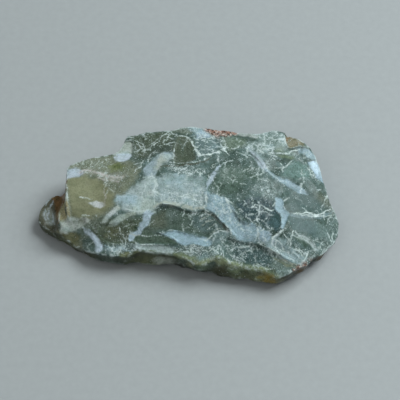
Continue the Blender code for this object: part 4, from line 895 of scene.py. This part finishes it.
class StonePaint:
    """Colour, frost and dust at every point of the stone; the colours hold painted light and shade as well.
    """

    def __init__(self, points):
        self.points = points
        self.drawn = points / SCALE + CENTRE
        self.broad = clouds(points, size=9.0, seed=1)
        self.mottle = clouds(points, size=2.4, seed=2)
        self.colour = np.tile(BODY, (len(points), 1))
        self.frost = 0.45 + 0.15 * self.mottle
        self.dust = np.clip(0.42 + 0.35 * clouds(points, size=5.0, seed=3), 0.05, 1)

    def lay(self, colour, cover, frost=None, dust=None):
        """Lays a colour over the stone, and its frost and dust where they are given."""
        self.colour = mix(self.colour, colour, cover)
        if frost is not None:
            self.frost += (frost - self.frost) * cover
        if dust is not None:
            self.dust += (dust - self.dust) * np.minimum(cover * 1.1, 1)

    def plain_stone(self):
        """The stone's own clouds, and flakes of other tones as on any broken face."""
        self.lay(BODY_DEEP, smooth(0.45 + 0.6 * self.broad + 0.4 * self.mottle))
        ragged = self.points + wander(self.points, size=2.0, amount=1.6)
        milky = clouds(ragged, size=4.0, seed=6) + 0.9 * clouds(self.points, size=0.9, seed=8)
        self.lay(BODY_MILKY, 0.42 * smooth(0.25 + 0.8 * milky))

    def flaked_sides(self, sides):
        """Frosted, clear and olive flakes on the sides and the underside, pale blue ones towards the back,
        and painted shade low on the front walls.
        """
        ragged = self.points + wander(self.points, size=2.0, amount=1.1)
        luck = flake_luck(ragged, cell=6.0, seed=21)
        behind = smooth((self.drawn[:, 1] + 12) / 8)
        low_down = smooth((6.5 - self.drawn[:, 2]) / 4)
        sea_flakes = (luck > 0.66) & (luck < 0.80)
        brown_flakes = (luck > 0.22) & (luck < 0.40)
        self.lay(DARK_OLIVE, sides * (0.5 + 0.4 * smooth(0.5 + self.broad)), frost=0.45, dust=0.25)
        self.lay(PALE_BLUE, sides * behind * 0.75 * (luck > 0.87), frost=0.65, dust=0.2)
        self.lay(SEA_GREEN, sides * (0.2 + 0.8 * behind) * 0.7 * sea_flakes, frost=0.4, dust=0.5)
        self.lay(DARK_GREEN, sides * 0.9 * (luck < 0.22), frost=0.25, dust=0.15)
        self.lay(BROWN_GREEN, sides * 0.8 * brown_flakes, frost=0.5, dust=0.3)
        # painted shade: near black low down on the front walls
        self.lay(SHADE_BLACK, sides * (1 - behind) * 0.65 * low_down, frost=0.3, dust=0.1)

    def drawn_top(self, top):
        """The flakes, stains and lines of the upper face, with painted sky reflection and highlights on its
        pale facets.
        """
        plan = self.drawn[:, :2]
        astray = wander(self.points, size=2.2, amount=0.6)[:, :2]
        astray += wander(self.points + 31, size=0.8, amount=0.42)[:, :2]
        ragged, crisp = plan + astray, plan + CRISP_STRAY * astray
        tone = (1 + 0.10 * self.mottle + 0.06 * self.broad)[:, None]
        for veil in VEILS:
            cover = outline_cover(ragged, veil.outline, veil.soft) * top
            self.dust += (veil.dust - self.dust) * cover
        for patch in STAINS + WINDOWS:
            where = crisp if patch.soft <= CRISP else ragged
            cover = patch.cover * outline_cover(where, patch.outline, patch.soft) * top
            self.lay(patch.colour * tone, cover, patch.frost, patch.dust)
        haze = clouds(self.points + wander(self.points, size=1.2, amount=1.0), size=1.4, seed=12)
        grains = smooth(0.65 + 0.8 * clouds(self.points, size=0.7, seed=14))
        dusty = smooth((self.dust - 0.40) / 0.6)
        self.lay(HAZE, 0.62 * top * grains * dusty * smooth(0.55 + 0.6 * haze), frost=0.6)
        self.frosted_and_reflecting_facets(ragged, crisp, top)
        for veil in LACE:
            self.dust += (veil.dust - self.dust) * outline_cover(ragged, veil.outline, veil.soft) * top
        cracks = Cracks(count=1000, step=0.12, longest=60, seed=41)
        self.lay(CHALK, 0.80 * cracks.cover(plan, self.dust, half=0.17) * top, frost=0.8)
        trembling = plan + wander(self.points, size=1.4, amount=0.35)[:, :2]
        trembling += wander(self.points, size=0.5, amount=0.2)[:, :2]
        broken = smooth(1.2 + 1.1 * clouds(self.points, size=0.8, seed=9))
        for stroke in STROKES:
            cover = stroke_cover(trembling, stroke) * top * broken
            self.lay(stroke.colour, cover, frost=0.8)

    def frosted_and_reflecting_facets(self, ragged, crisp, top):
        """Pale facets, frosted and partly painted sky reflection: a bright clouded middle, worn through
        here and there, thinner to the border.
        """
        bloom = clouds(self.points, size=3.2, seed=9)
        salt = clouds(self.points, size=0.8, seed=10)
        for patch in FACETS:
            where = crisp if patch.soft <= CRISP else ragged
            near = near_box(where, patch.outline, patch.soft)
            depth = inside_distance(where[near], patch.outline)
            middle = smooth(depth / 2.2)
            cover = np.zeros(len(ragged))
            worn = smooth(1.02 + 0.5 * middle + 0.6 * bloom[near] + 0.28 * salt[near])
            cover[near] = patch.cover * smooth(0.5 + 0.5 * depth / patch.soft) * worn * top[near]
            tone = 0.95 + 0.08 * middle + 0.11 * bloom[near] + 0.03 * salt[near]
            rim = smooth(1 - np.abs(depth - 0.2) / 0.3)
            tone += 0.26 * rim * smooth(0.4 + 1.4 * salt[near])
            shade = np.tile(patch.colour, (len(ragged), 1))
            # painted sky reflection: the facet's colour drawn towards the sky colour in clouds
            shade[near] = mix(patch.colour * tone[:, None], SKY_REFLECTION, 0.35 * smooth(bloom[near] - 0.1))
            self.lay(shade, cover, patch.frost, patch.dust)

    def rim_colours_and_painted_light(self, sides):
        """Clear olive and brown stone along the rim and the walls, with painted light shining through the
        thin front rim, painted shade low on the front wall and a painted sheen on it; gives back where
        crust lies.
        """
        places = self.drawn + wander(self.points, size=3.0, amount=1.0)
        for glow in GLOWS:
            cover = glow.cover * ball_cover(places, glow.middle, glow.reach)
            self.lay(glow.colour, cover * np.maximum(sides, 0.25), frost=0.35, dust=0.25)
        crust = np.zeros(len(places))
        places = self.drawn + wander(self.points, size=1.2, amount=0.5)
        for middle, reach in CRUSTS:
            crust = np.maximum(crust, ball_cover(places, middle, reach))
        return crust


def softened(points, ends, plan, top):
    """The solid's facets with softer edges, and almost level where a border has healed."""
    shaped = relaxed(points, ends, rounds=4, share=0.5)
    shaped = relaxed(shaped, ends, rounds=2, share=-0.25)
    healed = np.zeros(len(points))
    for path in HEALED:
        healed = np.maximum(healed, stroke_cover(plan, Stroke(path, HEALED_WIDTH, None, 1.0)))
    return mix(shaped, relaxed(shaped, ends, rounds=40, share=0.5), healed * top)


def broken_relief(points, dust, crust, top, under):
    """Height of chips and pits at every point, in millimetres."""
    rough = 0.30 + 0.70 * np.clip(dust * 1.2, 0, 1)
    relief = FLAKE_DEPTH * chips(points, cell=3.2, seed=11) * rough
    relief += CHIP_DEPTH * chips(points, cell=1.3, seed=12) * rough
    relief += (NICK_DEPTH + WALL_DEPTH * (1 - top)) * chips(points, cell=2.4, seed=13)
    relief += PIT_DEPTH * crust * chips(points, cell=0.9, seed=15)
    inward = -UNDER_INSET - UNDER_DEPTH * (1 + chips(points, cell=6.0, seed=16))
    inward -= UNDER_CHIP * chips(points, cell=2.0, seed=17)
    return relief + (np.clip(inward, -UNDER_LIMIT, 0) - relief) * under


def broken_stone():
    """The visible stone: the solid's own mesh, refined, painted and broken at a finer scale."""
    stone = copied_node(NODE)
    refine(stone)
    collapse_slivers()
    mesh = stone.data
    points = read_points(mesh) / MM
    normals = read(mesh.vertices, "normal", 3)
    ends = read(mesh.edges, "vertices", 2, np.int32)

    # low steps inside the upper face count as part of it, the outer walls do not
    top = relaxed(smooth((normals[:, 2] - 0.25) / 0.35), ends, rounds=20, share=0.5)
    top = smooth((top - 0.25) / 0.25)
    under = smooth((-normals[:, 2] - 0.5) / 0.3)
    stone_paint = StonePaint(points)
    stone_paint.plain_stone()
    stone_paint.flaked_sides(1 - top)
    stone_paint.drawn_top(top)
    crust = stone_paint.rim_colours_and_painted_light(1 - top)

    shaped = softened(points, ends, stone_paint.drawn[:, :2], top)
    relief = broken_relief(points, stone_paint.dust, crust, top, under)
    shaped = calmed(shaped + normals * relief[:, None], ends, rounds=6)
    move_inside_box(mesh, shaped)

    # edges stand out from the mean of their neighbours, and are bruised; their whitening is partly a
    # painted highlight where they catch the light
    bend = ((shaped - relaxed(shaped, ends, rounds=6, share=0.6)) * normals).sum(axis=1)
    paint(mesh, "colour", stone_paint.colour)
    paint(mesh, "frost", np.clip(stone_paint.frost, 0, 1))
    paint(mesh, "dust", np.clip(stone_paint.dust, 0, 1))
    paint(mesh, "edge", smooth(bend / 0.08 - 0.3) * (0.3 + 0.7 * top))
    paint(mesh, "crust", crust)
    select_only(stone)
    bpy.ops.object.shade_smooth_by_angle(angle=SMOOTH_ANGLE)
    mesh.materials.clear()
    mesh.materials.append(green_stone())
    return stone


# --- materials ------------------------------------------------------------------------------
def node(tree, kind, **settings):
    made = tree.nodes.new(kind)
    for key, value in settings.items():
        setattr(made, key, value)
    return made


def join(tree, socket, value):
    """Links a socket, or gives it a plain value."""
    if isinstance(value, bpy.types.NodeSocket):
        tree.links.new(value, socket)
    else:
        socket.default_value = value


def calculate(tree, operation, *values, clamp=False):
    made = node(tree, "ShaderNodeMath", operation=operation, use_clamp=clamp)
    for socket, value in zip(made.inputs, values):
        join(tree, socket, value)
    return made.outputs[0]


def ramp(tree, value, low, high):
    """0 at low, 1 at high, smooth between; low may be the larger."""
    made = node(tree, "ShaderNodeMapRange", interpolation_type="SMOOTHSTEP")
    join(tree, made.inputs["Value"], value)
    join(tree, made.inputs["From Min"], low)
    join(tree, made.inputs["From Max"], high)
    return made.outputs["Result"]


def mix_colour(tree, factor, under, over, blend="MIX"):
    made = node(tree, "ShaderNodeMix", data_type="RGBA", blend_type=blend)
    for index, value in ((0, factor), (6, under), (7, over)):
        join(tree, made.inputs[index], value)
    return made.outputs[2]


def clouded(tree, vector, scale, detail=3.0, roughness=0.55):
    made = node(tree, "ShaderNodeTexNoise")
    for name, value in (("Vector", vector), ("Scale", scale), ("Detail", detail), ("Roughness", roughness)):
        join(tree, made.inputs[name], value)
    return made.outputs


def shaken(tree, vector, scale, amount):
    """Coordinates pushed about by noise."""
    push = node(tree, "ShaderNodeVectorMath", operation="MULTIPLY_ADD")
    join(tree, push.inputs[0], clouded(tree, vector, scale, detail=2.0)["Color"])
    join(tree, push.inputs[1], (amount, amount, amount))
    join(tree, push.inputs[2], vector)
    return push.outputs[0]


def bare_stone(tree, frost, most):
    """How far the stone shows through its frost, full up to a frost of most - 1."""
    return calculate(tree, "SUBTRACT", most, frost, clamp=True)


def attribute(tree, name, output="Fac"):
    return node(tree, "ShaderNodeAttribute", attribute_name=name).outputs[output]


def crackle_group():
    """White cracks: an even network of thin lines, present only where dust lies, in patches."""
    tree = bpy.data.node_groups.new("crackle", "ShaderNodeTree")
    tree.interface.new_socket("Vector", in_out="INPUT", socket_type="NodeSocketVector")
    for name in ("Dust", "Scale", "Width", "Patchiness"):
        tree.interface.new_socket(name, in_out="INPUT", socket_type="NodeSocketFloat")
    tree.interface.new_socket("Lines", in_out="OUTPUT", socket_type="NodeSocketFloat")
    given = node(tree, "NodeGroupInput").outputs
    put_out = node(tree, "NodeGroupOutput").inputs

    cells = node(tree, "ShaderNodeTexVoronoi", feature="DISTANCE_TO_EDGE")
    join(tree, cells.inputs["Vector"], given["Vector"])
    join(tree, cells.inputs["Scale"], given["Scale"])
    patch = clouded(tree, given["Vector"], scale=700.0, detail=3.0, roughness=0.65)["Fac"]
    patch = calculate(tree, "MULTIPLY", calculate(tree, "SUBTRACT", patch, 0.5), given["Patchiness"])
    present = ramp(tree, calculate(tree, "ADD", given["Dust"], patch), 0.48, 1.20)
    ratio = calculate(tree, "DIVIDE", cells.outputs["Distance"], given["Width"])
    join(tree, put_out["Lines"], calculate(tree, "MULTIPLY", ramp(tree, ratio, 1.0, 0.6), present))
    return tree


def crackle(tree, group, **values):
    made = node(tree, "ShaderNodeGroup", node_tree=group)
    for name, value in values.items():
        join(tree, made.inputs[name], value)
    return made.outputs["Lines"]


def new_material(name):
    material = bpy.data.materials.new(name)
    material.use_nodes = True
    return material, material.node_tree, material.node_tree.nodes["Principled BSDF"]


def green_stone():
    material, tree, shader = new_material("green_stone")
    place = node(tree, "ShaderNodeTexCoord").outputs["Object"]
    dust, frost = attribute(tree, "dust"), attribute(tree, "frost")
    edge, crust = attribute(tree, "edge"), attribute(tree, "crust")
    colour = attribute(tree, "colour", "Color")

    # mottles, grain and pits of the stone itself
    mottle = clouded(tree, place, scale=750, detail=4.0, roughness=0.6)["Fac"]
    mottled = calculate(tree, "MULTIPLY", ramp(tree, mottle, 0.58, 0.34), bare_stone(tree, frost, 1.25))
    colour = mix_colour(tree, mottled, colour, MOTTLE_TINT, "MULTIPLY")
    grain = clouded(tree, place, scale=2400, detail=3.0, roughness=0.65)["Fac"]
    uneven = node(tree, "ShaderNodeMapRange")
    join(tree, uneven.inputs["Value"], grain)
    for name, value in (("From Min", 0.32), ("From Max", 0.68), ("To Min", 0.80), ("To Max", 1.20)):
        uneven.inputs[name].default_value = value
    colour = mix_colour(tree, bare_stone(tree, frost, 1.15), colour, uneven.outputs[0], "MULTIPLY")
    pitted = calculate(tree, "MULTIPLY", ramp(tree, grain, 0.50, 0.36), bare_stone(tree, frost, 1.05))
    colour = mix_colour(tree, pitted, colour, PIT_TINT, "MULTIPLY")

    # cracks and white dust
    cracks = crackle_group()
    bent = shaken(tree, place, scale=700, amount=0.0022)
    bent = shaken(tree, bent, scale=2600, amount=0.00055)
    wide_lines = crackle(tree, cracks, Vector=bent, Dust=dust, Scale=560.0, Width=0.085, Patchiness=1.8)
    fine_lines = crackle(tree, cracks, Vector=bent, Dust=dust, Scale=1300.0, Width=0.11, Patchiness=2.0)
    specks = clouded(tree, place, scale=3100, detail=1.0, roughness=0.5)["Fac"]
    thick = clouded(tree, place, scale=600, detail=2.0)["Fac"]
    lean = calculate(tree, "MULTIPLY_ADD", dust, 0.26, calculate(tree, "MULTIPLY", thick, 0.22))
    speckle = ramp(tree, calculate(tree, "ADD", specks, lean), 0.90, 0.94)
    white = (*WHITE_DUST, 1)
    colour = mix_colour(tree, calculate(tree, "MULTIPLY", fine_lines, 0.80), colour, white)
    colour = mix_colour(tree, calculate(tree, "MULTIPLY", speckle, 0.80), colour, white)
    colour = mix_colour(tree, calculate(tree, "MULTIPLY", wide_lines, 0.95), colour, white)

    # bruised edges, whitened partly as a painted highlight
    bruise_and_highlight = calculate(tree, "MULTIPLY", edge, ramp(tree, thick, 0.40, 0.62))
    colour = mix_colour(tree, calculate(tree, "MULTIPLY", bruise_and_highlight, 0.65), colour, white)

    # rusty crust with pits and pale grains
    lumps = clouded(tree, place, scale=1300, detail=2.0, roughness=0.6)["Fac"]
    rust = mix_colour(tree, ramp(tree, lumps, 0.56, 0.66), (*RUST, 1), (*RUST_GRAIN, 1))
    rust = mix_colour(tree, ramp(tree, lumps, 0.47, 0.40), rust, (*RUST_PIT, 1))
    colour = mix_colour(tree, crust, colour, rust)
    join(tree, shader.inputs["Base Color"], colour)

    # gloss, and the little light that sinks in
    dull = calculate(tree, "MULTIPLY_ADD", frost, 0.34, 0.22)
    whitened = calculate(tree, "MAXIMUM", wide_lines, speckle)
    dull = calculate(tree, "ADD", dull, calculate(tree, "MULTIPLY", whitened, 0.25), clamp=True)
    join(tree, shader.inputs["Roughness"], dull)
    shader.inputs["IOR"].default_value = 1.6
    shader.inputs["Specular IOR Level"].default_value = 0.16
    shader.inputs["Subsurface Weight"].default_value = 0.10
    shader.inputs["Subsurface Radius"].default_value = (0.8, 1.0, 0.7)
    shader.inputs["Subsurface Scale"].default_value = 0.0008

    # fine relief of the grain, the dust and the crust
    height = calculate(tree, "MULTIPLY", grain, calculate(tree, "MULTIPLY_ADD", dust, 0.7, 0.3))
    height = calculate(tree, "MULTIPLY_ADD", whitened, 0.5, height)
    height = calculate(tree, "MULTIPLY_ADD", calculate(tree, "MULTIPLY", lumps, crust), 4.0, height)
    bump = node(tree, "ShaderNodeBump")
    bump.inputs["Strength"].default_value = 0.6
    bump.inputs["Distance"].default_value = 0.00010
    join(tree, bump.inputs["Height"], height)
    join(tree, shader.inputs["Normal"], bump.outputs["Normal"])
    return material


def matt_floor():
    material, tree, shader = new_material("matt_floor")
    place = node(tree, "ShaderNodeTexCoord").outputs["Object"]
    grain = clouded(tree, place, scale=500)["Fac"]
    tone = mix_colour(tree, grain, (*FLOOR_DARK, 1), (*FLOOR_PALE, 1))
    join(tree, shader.inputs["Base Color"], tone)
    shader.inputs["Roughness"].default_value = 0.6
    return material


# --- setting --------------------------------------------------------------------------------
def pale_floor():
    bpy.ops.object.select_all(action="DESELECT")
    bpy.ops.mesh.primitive_plane_add(size=2.4, location=(0, 0.3, 0))
    floor = bpy.context.object
    floor.name = "pale_floor"
    floor.data.materials.append(matt_floor())


def soft_light(name, place, size, energy, colour):
    """A large square lamp aimed at the stone."""
    data = bpy.data.lights.new(name, "AREA")
    data.energy = energy
    data.size = size
    data.color = colour
    lamp = bpy.data.objects.new(name, data)
    lamp.location = place
    lamp.rotation_euler = (Vector(VIEW_TARGET) - Vector(place)).to_track_quat("-Z", "Y").to_euler()
    bpy.context.scene.collection.objects.link(lamp)


def studio():
    world = bpy.data.worlds.new("studio")
    bpy.context.scene.world = world
    world.use_nodes = True
    background = world.node_tree.nodes["Background"]
    background.inputs["Color"].default_value = SKYLIGHT
    background.inputs["Strength"].default_value = 0.32
    soft_light("window_behind", place=(0.80, 0.45, 1.05), size=0.8, energy=23, colour=COOL_LIGHT)
    soft_light("front_fill", place=(-0.6, -0.5, 0.9), size=0.8, energy=2, colour=WARM_LIGHT)


def camera():
    data = bpy.data.cameras.new("camera")
    data.lens = LENS
    data.sensor_width = SENSOR
    data.clip_start = 0.01
    eye = bpy.data.objects.new("camera", data)
    back = Vector((0, -math.cos(VIEW_ELEVATION), math.sin(VIEW_ELEVATION)))
    eye.location = Vector(VIEW_TARGET) + VIEW_DISTANCE * back
    eye.rotation_euler = back.to_track_quat("Z", "Y").to_euler()
    bpy.context.scene.collection.objects.link(eye)
    bpy.context.scene.camera = eye


camera()
studio()
pale_floor()
stone = broken_stone()
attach(stone, "root")
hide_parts(NODE)
bpy.context.scene.view_settings.view_transform = "Standard"
